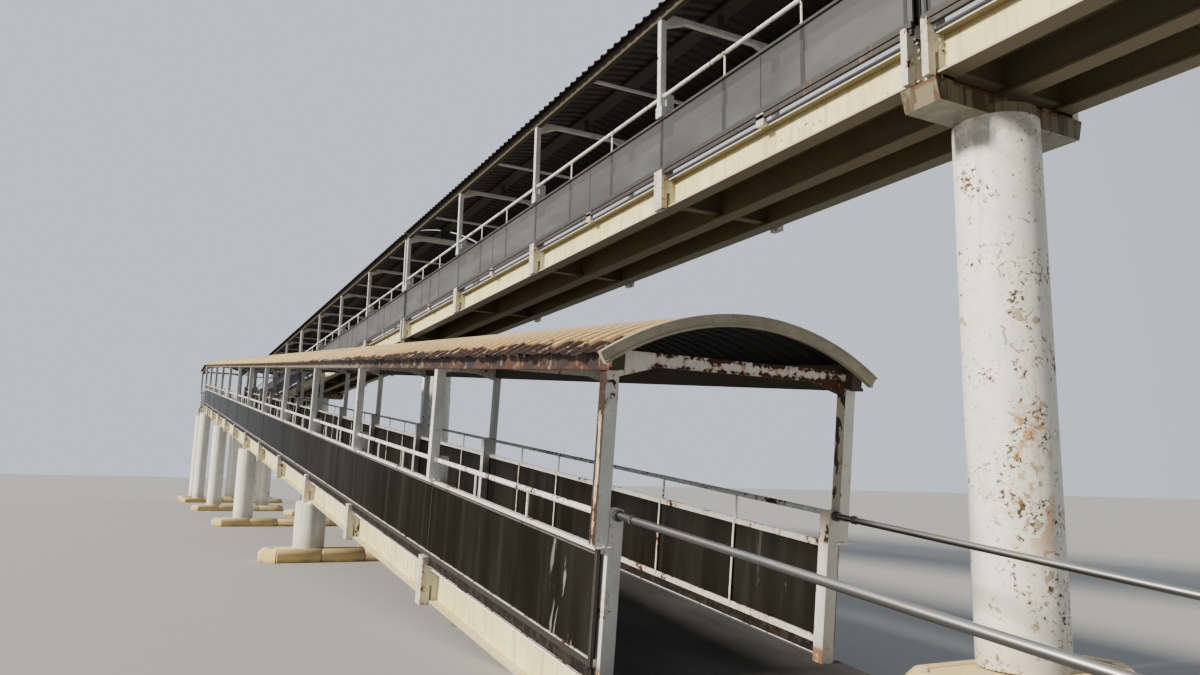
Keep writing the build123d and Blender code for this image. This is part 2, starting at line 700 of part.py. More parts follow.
def landing_sides(make):
    """One kind of side piece round the landing."""
    with BuildPart() as pieces:
        add(make(bridge, landing_runs, *bridge_panel_sizes, sides=(-1,)).part)
        add(make(bridge, [(landing_start, ramp_end_x)], *bridge_panel_sizes, sides=(1,)).part)
        add(make(level, level_runs, ramp_inner, *bridge_panel_sizes[1:], sides=(1,)).part)
        add(make(across_end, [(-bridge_inner, slab_left)], *bridge_panel_sizes, sides=(-1,)).part)
        add(make(across_link, [link_run], *bridge_panel_sizes, sides=(1,)).part)
    return pieces


landing_panels = landing_sides(panel_sheets)
landing_panels.part.label = "landing_panels"
export_step(landing_panels.part, "parts/landing_panels.step")

landing_panel_rails = landing_sides(panel_rails)
landing_panel_rails.part.label = "landing_panel_rails"
export_step(landing_panel_rails.part, "parts/landing_panel_rails.step")

level_rail_sizes = (ramp_inner, bridge_handrail, ramp_post)
with BuildPart() as landing_handrails:
    add(handrails(bridge, landing_frames, *bridge_rail_sizes, sides=(-1,)).part)
    add(handrails(bridge, landing_frames[:2], *bridge_rail_sizes, sides=(1,)).part)
    add(handrails(level, level_frames, *level_rail_sizes, sides=(1,)).part)
landing_handrails.part.label = "landing_handrails"
export_step(landing_handrails.part, "parts/landing_handrails.step")
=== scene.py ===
"""Finish and small parts of a covered boarding bridge: corrugated roof sheets, weathered paint, pipes,
panel fittings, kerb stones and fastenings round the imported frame. Sizes are in metres."""
import json
from functools import lru_cache
from math import asin, atan2, cos, pi, radians, sin, tan, tau

import bmesh
import bpy
from bpy.props import FloatProperty, FloatVectorProperty, IntProperty, PointerProperty
from mathutils import Matrix, Vector, noise


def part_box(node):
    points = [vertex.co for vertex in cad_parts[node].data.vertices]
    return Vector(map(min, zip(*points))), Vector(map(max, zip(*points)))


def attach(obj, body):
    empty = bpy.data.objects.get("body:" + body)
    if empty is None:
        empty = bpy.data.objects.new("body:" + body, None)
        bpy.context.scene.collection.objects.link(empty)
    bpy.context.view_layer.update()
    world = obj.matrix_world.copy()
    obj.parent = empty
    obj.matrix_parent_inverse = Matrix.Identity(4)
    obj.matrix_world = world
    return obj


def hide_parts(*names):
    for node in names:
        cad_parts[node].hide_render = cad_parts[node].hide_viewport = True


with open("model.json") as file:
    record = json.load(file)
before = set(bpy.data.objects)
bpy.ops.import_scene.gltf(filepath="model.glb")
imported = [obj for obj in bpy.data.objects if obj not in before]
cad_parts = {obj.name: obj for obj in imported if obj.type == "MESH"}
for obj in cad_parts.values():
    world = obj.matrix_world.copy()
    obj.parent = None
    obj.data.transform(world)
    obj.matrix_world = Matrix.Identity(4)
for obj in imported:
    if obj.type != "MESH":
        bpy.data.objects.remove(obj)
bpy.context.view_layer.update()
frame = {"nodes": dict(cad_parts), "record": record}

bl_info = {
    "name": "Boarding Bridge",
    "version": (1, 0, 0),
    "blender": (4, 5, 0),
    "location": "3D View > Sidebar > Boarding Bridge",
    "description": "Roof sheets, weathered finishes and fittings of a covered boarding bridge",
    "category": "Object",
}

# The walkways' own axes, along the floor, to the left and up from it, read from the frame
TOE_LOW, TOE_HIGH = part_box("ramp_toe")
SLOPE = atan2(TOE_HIGH.z, TOE_HIGH.x - TOE_LOW.x)
DECK_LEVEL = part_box("bridge_deck")[1].z
RAMP_MIDDLE = (TOE_LOW.y + TOE_HIGH.y) / 2
RAMP_HALF = (TOE_HIGH.y - TOE_LOW.y) / 2
LEVEL = Matrix.Translation((0, 0, DECK_LEVEL))
RAMP = Matrix.Translation((TOE_HIGH.x, RAMP_MIDDLE, TOE_HIGH.z)) @ Matrix.Rotation(-SLOPE, 4, "Y")
OVER_RAMP = Matrix.Translation((0, RAMP_MIDDLE, DECK_LEVEL))
GROUND = Matrix.Identity(4)
RAMP_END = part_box("ramp_deck")[1].x

# Spans over which finishes change. The first four are in the ramp's axes, the others over the ground
FIRST_FRAME = (0.03, 0.14)
RAMP_SIDE = (-0.70, -0.62)
LEFT_POSTS = (0.3, 0.5)
ABOVE_PANELS = (0.46, 0.48)
COLUMN_SIDE = (0.5, 0.7)
RUSTY_BAND = (0.45, 0.7, 1.0, 1.25)
PIER_MIDDLE = (1.15, 1.3, 1.4, 1.6)
CAP_FOOT = (2.354, 2.3555)

# Depth of the piers' cap beams, and how fine round parts are
CAP_DEPTH = 0.093
PIPE_SIDES = 14
ENTRY_PIPE_SIDES = 28
COAT_SIDES = 72
SHARP = radians(35)


def colour(name, default, description):
    """Colour that a user may change."""
    return FloatVectorProperty(name=name, default=default, subtype="COLOR", size=3, min=0, max=1,
                               description=description)


def length(name, default, description):
    """Size in metres that a user may change."""
    return FloatProperty(name=name, default=default, unit="LENGTH", min=0, precision=4,
                         description=description)


def tilt(name, default, description):
    """Angle that a user may change."""
    return FloatProperty(name=name, default=default, subtype="ANGLE", description=description)


def number(name, default, least, description):
    """Count that a user may change."""
    return IntProperty(name=name, default=default, min=least, description=description)


class RoofSettings(bpy.types.PropertyGroup):
    radius: length("Roof Radius", 1.146, "Outer radius that the roof sheets are rolled to")
    rib_pitch: length("Rib Pitch", 0.1, "Distance between the ribs of the roof sheets")
    rib_depth: length("Rib Depth", 0.0145, "Height of the ribs")
    sheet: length("Sheet Thickness", 0.0015, "Thickness of the roof sheets")
    eaten_length: length("Corroded Length", 9.0, "Length of the ramp's eave that rust has eaten")
    eaten_depth: length("Corroded Depth", 0.055, "Most that rust has eaten from the eave")
    arc_steps: number("Arc Steps", 18, 6, "Flats across the arch")
    screw_rows: number("Screw Rows", 7, 2, "Rows of screws across the arch")
    screw: length("Screw Head", 0.007, "Width of a screw's head")
    trim: length("Edge Trim", 0.006, "Thickness of the folded edge round the front arch")
    trim_depth: length("Trim Depth", 0.048, "Distance between the two folded edges' outer sides")
    trim_rivets: number("Trim Rivets", 13, 2, "Rivets round the front arch")


class FittingSettings(bpy.types.PropertyGroup):
    stub: length("Rail Stub", 0.012, "Thickness of the stubs that carry the hand rails")
    stubs: number("Stubs per Bay", 2, 1, "Rail stubs in each bay")
    collar: length("Collar", 0.003, "How far collars stand out from the pipes")
    collar_length: length("Collar Length", 0.022, "Length of a collar")
    mullion: length("Mullion", 0.012, "Width of the bars behind the ramp's panels")
    broad_mullion: length("Broad Mullion", 0.026, "Width of the bars behind the bridge's panels")
    joint: length("Panel Joint", 0.005, "Width of the strips over the joints of the panels")
    proud: length("Strip Depth", 0.003, "How far strips, seals and rivets stand out")
    bead: length("Panel Bead", 0.005, "Height of the bead along a panel's top")
    bolt: length("Bolt Head", 0.014, "Width of a bolt's head")
    small_bolt: length("Small Bolt Head", 0.010, "Width of a bolt's head in a foot plate")
    rivet: length("Rivet", 0.006, "Width of a rivet's head")
    rivet_pitch: length("Rivet Pitch", 0.11, "Distance between rivets")
    plate: length("Foot Plate", 0.006, "Thickness of the plates under posts")
    coat: length("Paint Coat", 0.0015, "Thickness of the smooth skin on piers and columns")
    kerb: length("Kerb Stone", 0.45, "Longest kerb stone")
    kerb_depth: length("Kerb Depth", 0.085, "Width of the ring of kerb stones")
    kerb_bevel: length("Kerb Bevel", 0.038, "Bevel on the stones' outer top edges")
    kerb_edge: length("Kerb Edge", 0.005, "Small bevel on every edge of a stone")
    kerb_joint: length("Kerb Joint", 0.008, "Mortar joint between two stones")
    plinth_corner: length("Plinth Corner", 0.12, "Length cut from each corner of a plinth")


class PaintSettings(bpy.types.PropertyGroup):
    cream: colour("Girder Cream", (0.73, 0.65, 0.29), "Paint of the girders' webs")
    white: colour("Pier White", (0.88, 0.88, 0.78), "Paint of the piers and columns")
    frame: colour("Post White", (0.64, 0.65, 0.63), "Paint of the canopy's posts")
    portal: colour("Portal White", (0.70, 0.68, 0.62), "Paint of the cross beams over the ramp")
    rail: colour("Rail White", (0.72, 0.70, 0.64), "Paint of the ramp's panel rails")
    pipe: colour("Pipe White", (0.78, 0.77, 0.73), "Paint of the hand rail pipes")
    bracket: colour("Bracket Grey", (0.62, 0.60, 0.53), "Paint of the brackets")
    brown: colour("Rail Brown", (0.040, 0.034, 0.030), "Paint of the bridge's panel rails")
    eave: colour("Eave Brown", (0.15, 0.115, 0.082), "Paint of the eave beams")
    under: colour("Underside Brown", (0.165, 0.135, 0.072), "Steel under the floors")
    roof_cream: colour("Roof Cream", (0.74, 0.53, 0.25), "Sheets over the ramp")
    roof_brown: colour("Roof Brown", (0.135, 0.085, 0.055), "Sheets over the level bridge")
    # Painted shade: a near-black colour that stands for the dark under the roof sheets.
    roof_under: colour("Roof Underside", (0.017, 0.012, 0.009), "Undersides of the roof sheets")
    fascia: colour("Fascia Grey", (0.34, 0.31, 0.23), "Sheet round the roof's front edge")
    stone: colour("Kerb Yellow", (0.76, 0.55, 0.22), "Painted kerb stones")
    rust: colour("Rust", (0.098, 0.030, 0.007), "Rust where paint is gone")
    orange: colour("Rust Stain", (0.42, 0.18, 0.035), "Stain that runs from rust")
    scale: colour("Rust Scale", (0.026, 0.009, 0.004), "Dark scale in old rust")
    soil: colour("Grime", (0.13, 0.10, 0.07), "Grime in joints and under ledges")


class ViewSettings(bpy.types.PropertyGroup):
    place: FloatVectorProperty(name="Camera Place", default=(-2.450, 3.162, 0.804), subtype="TRANSLATION",
                               description="Where the camera stands")
    turn: tilt("Turn", 0.4740, "Turn of the camera to the right of the walkways' direction")
    pitch: tilt("Pitch", 0.1617, "Tilt of the camera upwards")
    roll: tilt("Roll", 0.0220, "Roll of the camera")
    lens: FloatProperty(name="Lens", default=26.43,
                        description="Focal length in millimetres on a 36 mm sensor")
    sun_height: tilt("Sun Height", radians(29), "Height of the warm key light")
    sun_spread: tilt("Sun Spread", radians(9), "Apparent size of the key light, which softens shadows")
    sun_strength: FloatProperty(name="Sun Strength", default=7.6, description="Strength of the key light")
    sun: colour("Sun Colour", (1.0, 0.93, 0.80), "Colour of the key light")
    sky_behind: colour("Sky Behind", (0.20, 0.22, 0.255), "Sky light from behind the camera")
    sky_ahead: colour("Sky Ahead", (0.74, 0.80, 0.90), "Sky light from ahead of the camera")
    floor: colour("Floor", (0.34, 0.34, 0.335), "Studio floor")
    floor_size: length("Floor Size", 150, "Half the width of the studio floor")


SETTINGS = {"roof": RoofSettings, "fittings": FittingSettings, "paint": PaintSettings, "view": ViewSettings}


def settings(group):
    """One group of the scene's settings."""
    return getattr(bpy.context.scene, "boarding_bridge_" + group)


class Value:
    """Number socket in shader maths. An expression on values adds its Math nodes."""

    def __init__(self, nodes, socket):
        self.nodes = nodes
        self.socket = socket

    def maths(self, operation, *operands):
        """Result of one Math node."""
        made = self.nodes.node("ShaderNodeMath", {"operation": operation}, dict(enumerate(operands)))
        return Value(self.nodes, made.outputs[0])

    def __add__(self, other):
        return self.maths("ADD", self, other)

    def __radd__(self, other):
        return self.maths("ADD", other, self)

    def __sub__(self, other):
        return self.maths("SUBTRACT", self, other)

    def __rsub__(self, other):
        return self.maths("SUBTRACT", other, self)

    def __mul__(self, other):
        return self.maths("MULTIPLY", self, other)

    def __rmul__(self, other):
        return self.maths("MULTIPLY", other, self)

    def __or__(self, other):
        return self.maths("MAXIMUM", self, other)

    def size(self):
        """Value without its sign."""
        return self.maths("ABSOLUTE", self)

    def part(self):
        """Fraction, which repeats from 0 to 1."""
        return self.maths("FRACT", self)

    def rise(self, low, high):
        """0 below low, 1 above high, and smooth between them."""
        made = self.nodes.node("ShaderNodeMapRange", {"interpolation_type": "SMOOTHSTEP"},
                               {"Value": self, "From Min": low, "From Max": high})
        return Value(self.nodes, made.outputs[0])

    def beat(self, start, pitch):
        """Share of the way through each repeat of a pitch."""
        return ((self - start) * (1 / pitch)).part()

    def fall(self, low, high):
        """1 below low, 0 above high, and smooth between them."""
        return 1 - self.rise(low, high)

    def band(self, foot, low, high, top):
        """1 from low to high, 0 below foot and above top, and smooth between them."""
        return self.rise(foot, low) * self.fall(high, top)


class Nodes:
    """Emptied node tree of a material or a sky, and the one way that nodes are added to it."""

    def __init__(self, owner):
        owner.use_nodes = True
        self.tree = owner.node_tree
        self.tree.nodes.clear()

    def node(self, kind, options, sockets):
        """One node: its settings first, then the values or links of its sockets."""
        made = self.tree.nodes.new(kind)
        for key, value in options.items():
            setattr(made, key, value)
        for key, value in sockets.items():
            self.feed(made.inputs[key], value)
        return made

    def feed(self, socket, value):
        """Links or sets one socket."""
        if isinstance(value, Value):
            value = value.socket
        if isinstance(value, bpy.types.NodeSocket):
            self.tree.links.new(value, socket)
        elif socket.type == "RGBA" and len(value) == 3:
            socket.default_value = (*value, 1)
        else:
            socket.default_value = value

    def mix(self, mask, first, second):
        """Colour between two colours."""
        made = self.node("ShaderNodeMix", {"data_type": "RGBA"}, {0: mask, 6: first, 7: second})
        return made.outputs[2]


class Finish(Nodes):
    """Material with a Principled shader, and the nodes that feed it from places in a walkway's axes."""

    def __init__(self, name, walk=GROUND):
        self.material = bpy.data.materials.new(name)
        super().__init__(self.material)
        self.shader = self.node("ShaderNodeBsdfPrincipled", {}, {})
        self.node("ShaderNodeOutputMaterial", {}, {"Surface": self.shader.outputs[0]})
        self.place, self.along, self.left, self.up = self.axes(walk)

    def set(self, **sockets):
        """Sockets of the shader itself."""
        for key, value in sockets.items():
            self.feed(self.shader.inputs[key.replace("_", " ")], value)

    def look(self, shade, relief, depth, strength, **sockets):
        """Colour, small relief of that depth in metres, and any more sockets of the shader."""
        made = self.node("ShaderNodeBump", {}, {"Height": relief, "Distance": depth, "Strength": strength})
        self.set(Base_Color=shade, Normal=made.outputs[0], **sockets)

    def axes(self, walk):
        """Place on the object in a walkway's axes: the vector, then its three numbers."""
        place = self.node("ShaderNodeTexCoord", {}, {}).outputs["Object"]
        moved = self.node("ShaderNodeMapping", {"vector_type": "TEXTURE"}, {
            "Vector": place, "Location": walk.translation, "Rotation": walk.to_euler()}).outputs[0]
        parts = self.node("ShaderNodeSeparateXYZ", {}, {0: moved}).outputs
        return moved, *(Value(self, part) for part in parts)

    def facing(self, axis):
        """How far the surface faces one way: 0 for X, 1 for Y, 2 for Z."""
        normal = self.node("ShaderNodeNewGeometry", {}, {}).outputs["Normal"]
        return Value(self, self.node("ShaderNodeSeparateXYZ", {}, {0: normal}).outputs[axis])

    def underside(self):
        """1 on faces that look down."""
        return self.facing(2).fall(-0.9, -0.5)

    def noise(self, scale, detail, stretch=(1, 1, 1), rough=0.55, twist=0.0):
        """Noise value, stretched along the axes."""
        spread = self.node("ShaderNodeVectorMath", {"operation": "MULTIPLY"}, {0: self.place, 1: stretch})
        made = self.node("ShaderNodeTexNoise", {}, {
            "Vector": spread.outputs[0], "Scale": scale, "Detail": detail, "Roughness": rough,
            "Distortion": twist})
        return Value(self, made.outputs[0])


def tone(shade, factor):
    """Lighter or darker colour."""
    return [min(1, c * factor) for c in shade]


def weathered(finish, paint, rust, grain, streaks, patch=3.0, dirt=0.3, stain=0.7, roughness=0.5,
              metal=None, more=None, over=None):
    """Old paint: blotches, dirt that runs down, flaked patches with a dark edge and rust stain round them.

    rust is how much paint is gone, grain the flakes' fineness and patch the clusters', and metal the
    dark and light colour of what shows. more gives extra rust by place, and over changes the
    finished colour by place.
    """
    tints = settings("paint")
    paint = getattr(tints, paint)
    rim_width, stain_width = 0.012, 0.085
    cluster = finish.noise(patch, 3)
    flake = finish.noise(grain, 5, rough=0.6, twist=0.4)
    runs = finish.noise(grain * 0.9, 4, stretch=(1, 1, 0.07))
    soil = finish.noise(grain * 0.3, 5)
    grains = finish.noise(grain * 3.2, 5)
    wear = cluster * 0.5 + flake * 0.5
    if more:
        wear = wear + more(finish)
    edge = 0.72 - rust * 0.3
    bare = wear.rise(edge, edge + rim_width)
    rim = wear.rise(edge - rim_width, edge) - bare
    halo = wear.rise(edge - stain_width, edge)
    pale = finish.mix(cluster.rise(0.35, 0.7), tone(paint, 0.94), tone(paint, 1.06))
    dull = finish.mix(soil.rise(0.42, 0.75) * dirt, pale, tone(paint, 0.55))
    dirty = finish.mix(runs.rise(0.52, 0.75) * streaks, dull, (0.24, 0.175, 0.11))
    stained = finish.mix(halo * stain * runs.rise(0.3, 0.6), dirty, tints.orange)
    shown = finish.mix(grains.rise(0.42, 0.60), *(metal or (tints.scale, tints.rust)))
    worn = finish.mix(rim * 0.7, finish.mix(bare, stained, shown), tone(paint, 0.3))
    if over:
        worn = over(finish, worn)
    finish.look(worn, (1 - bare) * 0.8 + flake * 0.2 + grains * 0.15, 0.0018, 0.7,
                Roughness=roughness + bare * (0.9 - roughness))


def first_frame(finish):
    """1 on the ramp's first frame."""
    return finish.along.fall(*FIRST_FRAME) * finish.left.rise(*RAMP_SIDE)


def near_front(finish):
    """More rust on the ramp's first frame, most on its left faces and towards the top, and at the floor."""
    lit = finish.facing(1).rise(0.3, 0.8)
    canopy = finish.up.rise(0.62, 1.0)
    near = finish.left.rise(*LEFT_POSTS) * finish.up.rise(*ABOVE_PANELS)
    first = first_frame(finish) * (lit * (canopy * 0.05 + near * 0.05) + 0.01)
    return first + finish.up.size().fall(0.0, 0.10) * 0.03


def front_glow(finish, worn):
    """Rust and yellowed stain down the left faces of the ramp's first posts, darkest near the roof."""
    lit = first_frame(finish) * finish.facing(1).rise(0.3, 0.8)
    foot = lit * finish.up.fall(0.045, 0.075)
    posts = lit * finish.up.rise(*ABOVE_PANELS)
    near = posts * finish.left.rise(*LEFT_POSTS)
    mottled = finish.noise(17, 5, stretch=(1, 1, 0.45), twist=0.5)
    edges = finish.along.size().rise(0.006, 0.018)
    shown = near * (edges * 0.16 + 0.065) + finish.up.rise(0.7, 1.0) * 0.04
    beige = finish.mix(posts * 0.7, worn, (0.50, 0.39, 0.22))
    ochre = finish.mix(near * mottled.rise(0.36, 0.52) * 0.8, beige, (0.32, 0.155, 0.03))
    scale = finish.mix(finish.noise(90, 4).rise(0.42, 0.58), (0.012, 0.005, 0.003), (0.045, 0.015, 0.004))
    rusted = finish.mix(posts * (mottled + shown).rise(0.55, 0.565), ochre, scale)
    return finish.mix(foot * mottled.rise(0.42, 0.46) * 0.9, rusted, (0.26, 0.085, 0.012))


def front_beam_rust(finish):
    """Heavy flaking on the beam over the entry, clean on its left haunch."""
    haunch = finish.left.rise(RAMP_HALF - 0.22, RAMP_HALF - 0.12)
    ledge = finish.up.rise(1.136, 1.150) | finish.up.fall(1.112, 1.126)
    return finish.along.fall(0.02, 0.1) * (0.055 + ledge * 0.085 - haunch * 0.17)


def dark_underneath(finish, worn):
    """Old brown paint and dirt on the faces that look down."""
    return finish.mix(finish.underside(), worn, tone(settings("paint").under, 0.35))


def top_face_rust(finish):
    """More flaking on the faces that look up."""
    return finish.facing(2).rise(0.4, 0.9) * 0.045


def dusty_plates(finish, worn):
    """Paler dust on the plates that look down, and darker sides."""
    side = finish.facing(2).size().fall(0.3, 0.6)
    darker = finish.mix(side * 0.5, worn, (0.085, 0.069, 0.036))
    return finish.mix(finish.underside() * 0.8, darker, (0.20, 0.165, 0.10))


def near_rail_paint(finish, worn):
    """Brown paint on the outer face of the ramp's lower rails and along the upper rails' lower half."""
    low = finish.up.fall(0.0775, 0.0785)
    high = finish.up.band(0.40, 0.41, 0.4495, 0.4505)
    outer = finish.facing(1).size().rise(0.5, 0.8) * finish.left.size().rise(0.53, 0.54)
    return finish.mix((low | high) * outer, worn, (0.017, 0.014, 0.011))


def weathered_side(finish):
    """Band down each pier where the paint comes off first."""
    return (finish.facing(1) * 0.5 - finish.facing(0) * 0.86).rise(0.78, 0.97)


def fewer_flakes(finish):
    """Sound paint on the ramp's columns, and more flakes down one weathered side of the bridge's piers."""
    low = finish.up.band(*RUSTY_BAND)
    return weathered_side(finish) * (low * 0.020 + 0.022) - finish.left.rise(*COLUMN_SIDE) * 0.075


def cap_stains(finish, worn):
    """Beige caps with brown runs, a bare grey ring under them, and a dirty foot on the shafts."""
    up = finish.up
    on_pier = finish.left.fall(*COLUMN_SIDE)
    blotch = finish.noise(14, 5)
    bulge = weathered_side(finish) * (up.band(*PIER_MIDDLE) * 0.05 + 0.015)
    scab = finish.noise(17, 4, twist=1.2) + bulge
    rimmed = finish.mix(scab.rise(0.655, 0.66) * on_pier, worn, (0.10, 0.085, 0.055))
    flaked = finish.mix(scab.rise(0.67, 0.675) * on_pier, rimmed, (0.50, 0.42, 0.26))
    low = up.band(*RUSTY_BAND) * weathered_side(finish)
    ochre = finish.mix(blotch.rise(0.50, 0.60) * low * on_pier * 0.7, flaked, (0.50, 0.23, 0.035))
    streak = finish.noise(11, 3, stretch=(1, 1, 0.03)).rise(0.60, 0.68) * 0.35
    grimy = finish.mix((up.fall(0.12, 0.34) * 0.5) | streak, ochre, (0.36, 0.29, 0.19))
    ring = up.rise(2.20, 2.26) * on_pier * blotch.rise(0.35, 0.55)
    shaft = finish.mix(ring * 0.7, grimy, (0.36, 0.35, 0.31))
    runs = finish.noise(30, 4, stretch=(1, 1, 0.06))
    stained = finish.mix(runs.rise(0.46, 0.60), (0.20, 0.165, 0.10), (0.085, 0.058, 0.03))
    edge = up.rise(2.425, 2.440) * blotch.rise(0.40, 0.5) * 0.8
    rusty = finish.mix(edge, stained, settings("paint").rust)
    cap = finish.mix(finish.underside(), rusty, (0.15, 0.125, 0.08))
    return finish.mix(up.rise(*CAP_FOOT) * on_pier, shaft, cap)


def kerb_stone(finish):
    """Yellow paint worn from cast stone, paler on top, and grime near the ground."""
    tints = settings("paint")
    blotch = finish.noise(6, 5)
    pits = finish.noise(60, 4)
    worn = (blotch * 0.6 + pits * 0.4).rise(0.47, 0.60)
    paint = finish.mix(worn * 0.6, tints.stone, (0.47, 0.39, 0.27))
    pale = finish.mix(finish.facing(2).rise(0.6, 0.95) * 0.7, paint, (0.80, 0.65, 0.34))
    grimy = finish.mix(finish.up.fall(0.0, 0.045) * blotch.rise(0.2, 0.7) * 0.85, pale, tints.soil)
    finish.look(grimy, pits * 0.6 + blotch * 0.6, 0.002, 0.7, Roughness=0.85)


def bearing_rubber(finish):
    """Black rubber, dusty in patches."""
    dust = finish.noise(40, 4)
    shade = finish.mix(dust.rise(0.4, 0.7), (0.013, 0.012, 0.011), (0.036, 0.029, 0.023))
    finish.look(shade, dust, 0.0015, 0.6, Roughness=0.9, Specular_IOR_Level=0.1)


def deck_surface(finish):
    """Dark grey floor coating, gritty and worn pale in patches."""
    grit = finish.noise(220, 3)
    patches = finish.noise(2.2, 5, stretch=(0.4, 1, 1))
    base = finish.mix(patches.rise(0.35, 0.7), (0.038, 0.0383, 0.039), (0.078, 0.077, 0.074))
    shade = finish.mix(grit.rise(0.5, 0.75) * 0.3, base, (0.12, 0.117, 0.112))
    finish.look(shade, grit, 0.0012, 0.8, Roughness=0.9, Specular_IOR_Level=0.2)


def bridge_glass(finish):
    """Grey tinted panels with dust, milkier and lighter in their lower part as painted sunlight under painted
    shade from the roof, and darker where bars stand behind them.
    """
    dust = finish.noise(3.0, 5, stretch=(0.5, 1, 1.5))
    sheet = finish.noise(1.0, 0, stretch=(1.1, 0.1, 0.0))
    # Painted sunlight and shade: the lower part of each panel takes a lighter tint and more opacity, and the
    # upper part stays darker as in the roof's shade. The lower part is also rougher, milkier glass.
    milky_sunlit_lower = (finish.up + (sheet - 0.5) * 0.06).fall(0.225, 0.245)
    clear = finish.mix(dust.rise(0.3, 0.75) * 0.6, (0.078, 0.077, 0.077), (0.115, 0.113, 0.112))
    dusty_sunlit_tint = finish.mix(dust.rise(0.3, 0.7), (0.078, 0.081, 0.082), (0.120, 0.124, 0.122))
    panels = middles(solids("bridge_panels", LEVEL))
    frames = middles(solids("bridge_stub_posts", LEVEL))
    pitch = panels[1] - panels[0]
    bay = (frames[1] - frames[0]) / (settings("fittings").stubs + 1)
    step = finish.along.beat(frames[0], pitch) * (pitch / bay)
    bars = ((step + 0.5).part() - 0.5).size().fall(0.022, 0.034)
    tinted = finish.mix(bars * 0.75, finish.mix(milky_sunlit_lower, clear, dusty_sunlit_tint), (0.042, 0.040, 0.040))
    finish.set(Base_Color=tinted, Alpha=0.76 + milky_sunlit_lower * 0.14, Roughness=0.2 + dust * 0.2 + milky_sunlit_lower * 0.2,
               Specular_IOR_Level=0.035)


def ramp_glass(finish):
    """Smoked panels with dry streaks down them, and smears near the entry."""
    drips = finish.noise(11, 4, stretch=(1, 1, 0.06))
    wide = finish.noise(2.4, 4, stretch=(1, 1, 0.3))
    smears = finish.noise(9, 5, stretch=(1, 1, 0.25), twist=1.2).rise(0.60, 0.64)
    near = finish.along.band(0.08, 0.14, 0.30, 0.55)
    haze = drips.rise(0.45, 0.8) * 0.06 + wide.rise(0.4, 0.8) * 0.06
    tint = finish.mix(haze, (0.0115, 0.0105, 0.0080), (0.20, 0.20, 0.19))
    smeared = finish.mix(smears * near * 0.45, tint, (0.42, 0.41, 0.39))
    finish.set(Base_Color=smeared, Alpha=0.91 + haze * 0.5, Roughness=0.16 + haze * 1.2,
               Specular_IOR_Level=0.001)


def corrosion(finish):
    """How badly rust has eaten the ramp's eave: 1 at the front, 0 past its corroded length."""
    return finish.along.fall(-0.2, settings("roof").eaten_length)


def roof_sheet(finish, paint, node, eaten=False):
    """Coated roof sheets: sun-bleached, dusty, with painted shade on the ribs' flanks and in the pans between
    them, painted shade on their undersides, and rusty up from an eaten eave.
    """
    tints = settings("paint")
    paint = getattr(tints, paint)
    sheets = finish.noise(0.9, 3, stretch=(1, 0.05, 0.05))
    dust = finish.noise(8, 5, stretch=(1, 0.3, 0.3))
    specks = finish.noise(55, 4)
    base = finish.mix(sheets.rise(0.35, 0.65) * 0.7, tone(paint, 0.86), tone(paint, 1.14))
    dusty = finish.mix(dust.rise(0.45, 0.8) * 0.45, base, tone(paint, 0.5))
    start, pitch = rib_rhythm(roof_runs(node)[0][1])[:2]
    # Painted shade: this mask takes the ribs' lower flanks and the pans between them, which are darkened
    # towards a fifth of the paint's colour.
    pans = (finish.along.beat(start, pitch) - 0.5).size().rise(0.09, 0.15)
    shade = finish.mix(pans * 0.9, dusty, tone(paint, 0.20))
    if eaten:
        shade = eaten_eave(finish, shade, specks, pans)
    # Painted shade on faces that look down, and partly on faces that look sideways: near black, and nearly
    # pure black under the ramp's roof.
    under = tone(tints.roof_under, 0.03 if eaten else 1.1)
    finish.look(finish.mix(finish.facing(2).fall(-0.1, 0.15), shade, under), dust * 0.4 + specks * 0.5,
                0.001, 0.5, Roughness=0.6)


def eaten_eave(finish, sheet, specks, pans):
    """Bare rust with curls of paint along the ramp's left eave, painted shade in the pans and painted
    highlights on the curls over the crests, and stain above it.
    """
    tints = settings("paint")
    low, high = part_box("ramp_front_arch")
    half = (high.y - low.y) / 2
    loss = corrosion(finish)
    ragged = finish.noise(9, 5, stretch=(1, 0.4, 0.4))
    edge = finish.left.size() + (ragged - 0.5) * 0.20
    gone = (edge - (half + 0.004 - loss * 0.115)).rise(0.0, 0.02) * finish.left.rise(-0.1, 0.1)
    spots = (specks * 0.5 + edge * 0.5 + loss * 0.1).rise(0.56, 0.62) * 0.8
    # Bare metal: dark scale and rust in spots, mostly dark scale in the pans as painted shade.
    metal = finish.mix(specks.rise(0.44, 0.58) * (1 - pans * 0.7), tone(tints.scale, 0.35),
                       tone(tints.rust, 0.6))
    # Cream curls of paint on the crests, painted lighter as highlights.
    curls_and_highlights = finish.noise(44, 3, stretch=(1, 0.5, 0.5)).rise(0.58, 0.62) * (1 - pans)
    with_curls_and_highlights = finish.mix(curls_and_highlights * 0.7, metal, (0.52, 0.38, 0.26))
    return finish.mix(gone, finish.mix(spots * 0.6, sheet, tints.orange), with_curls_and_highlights)


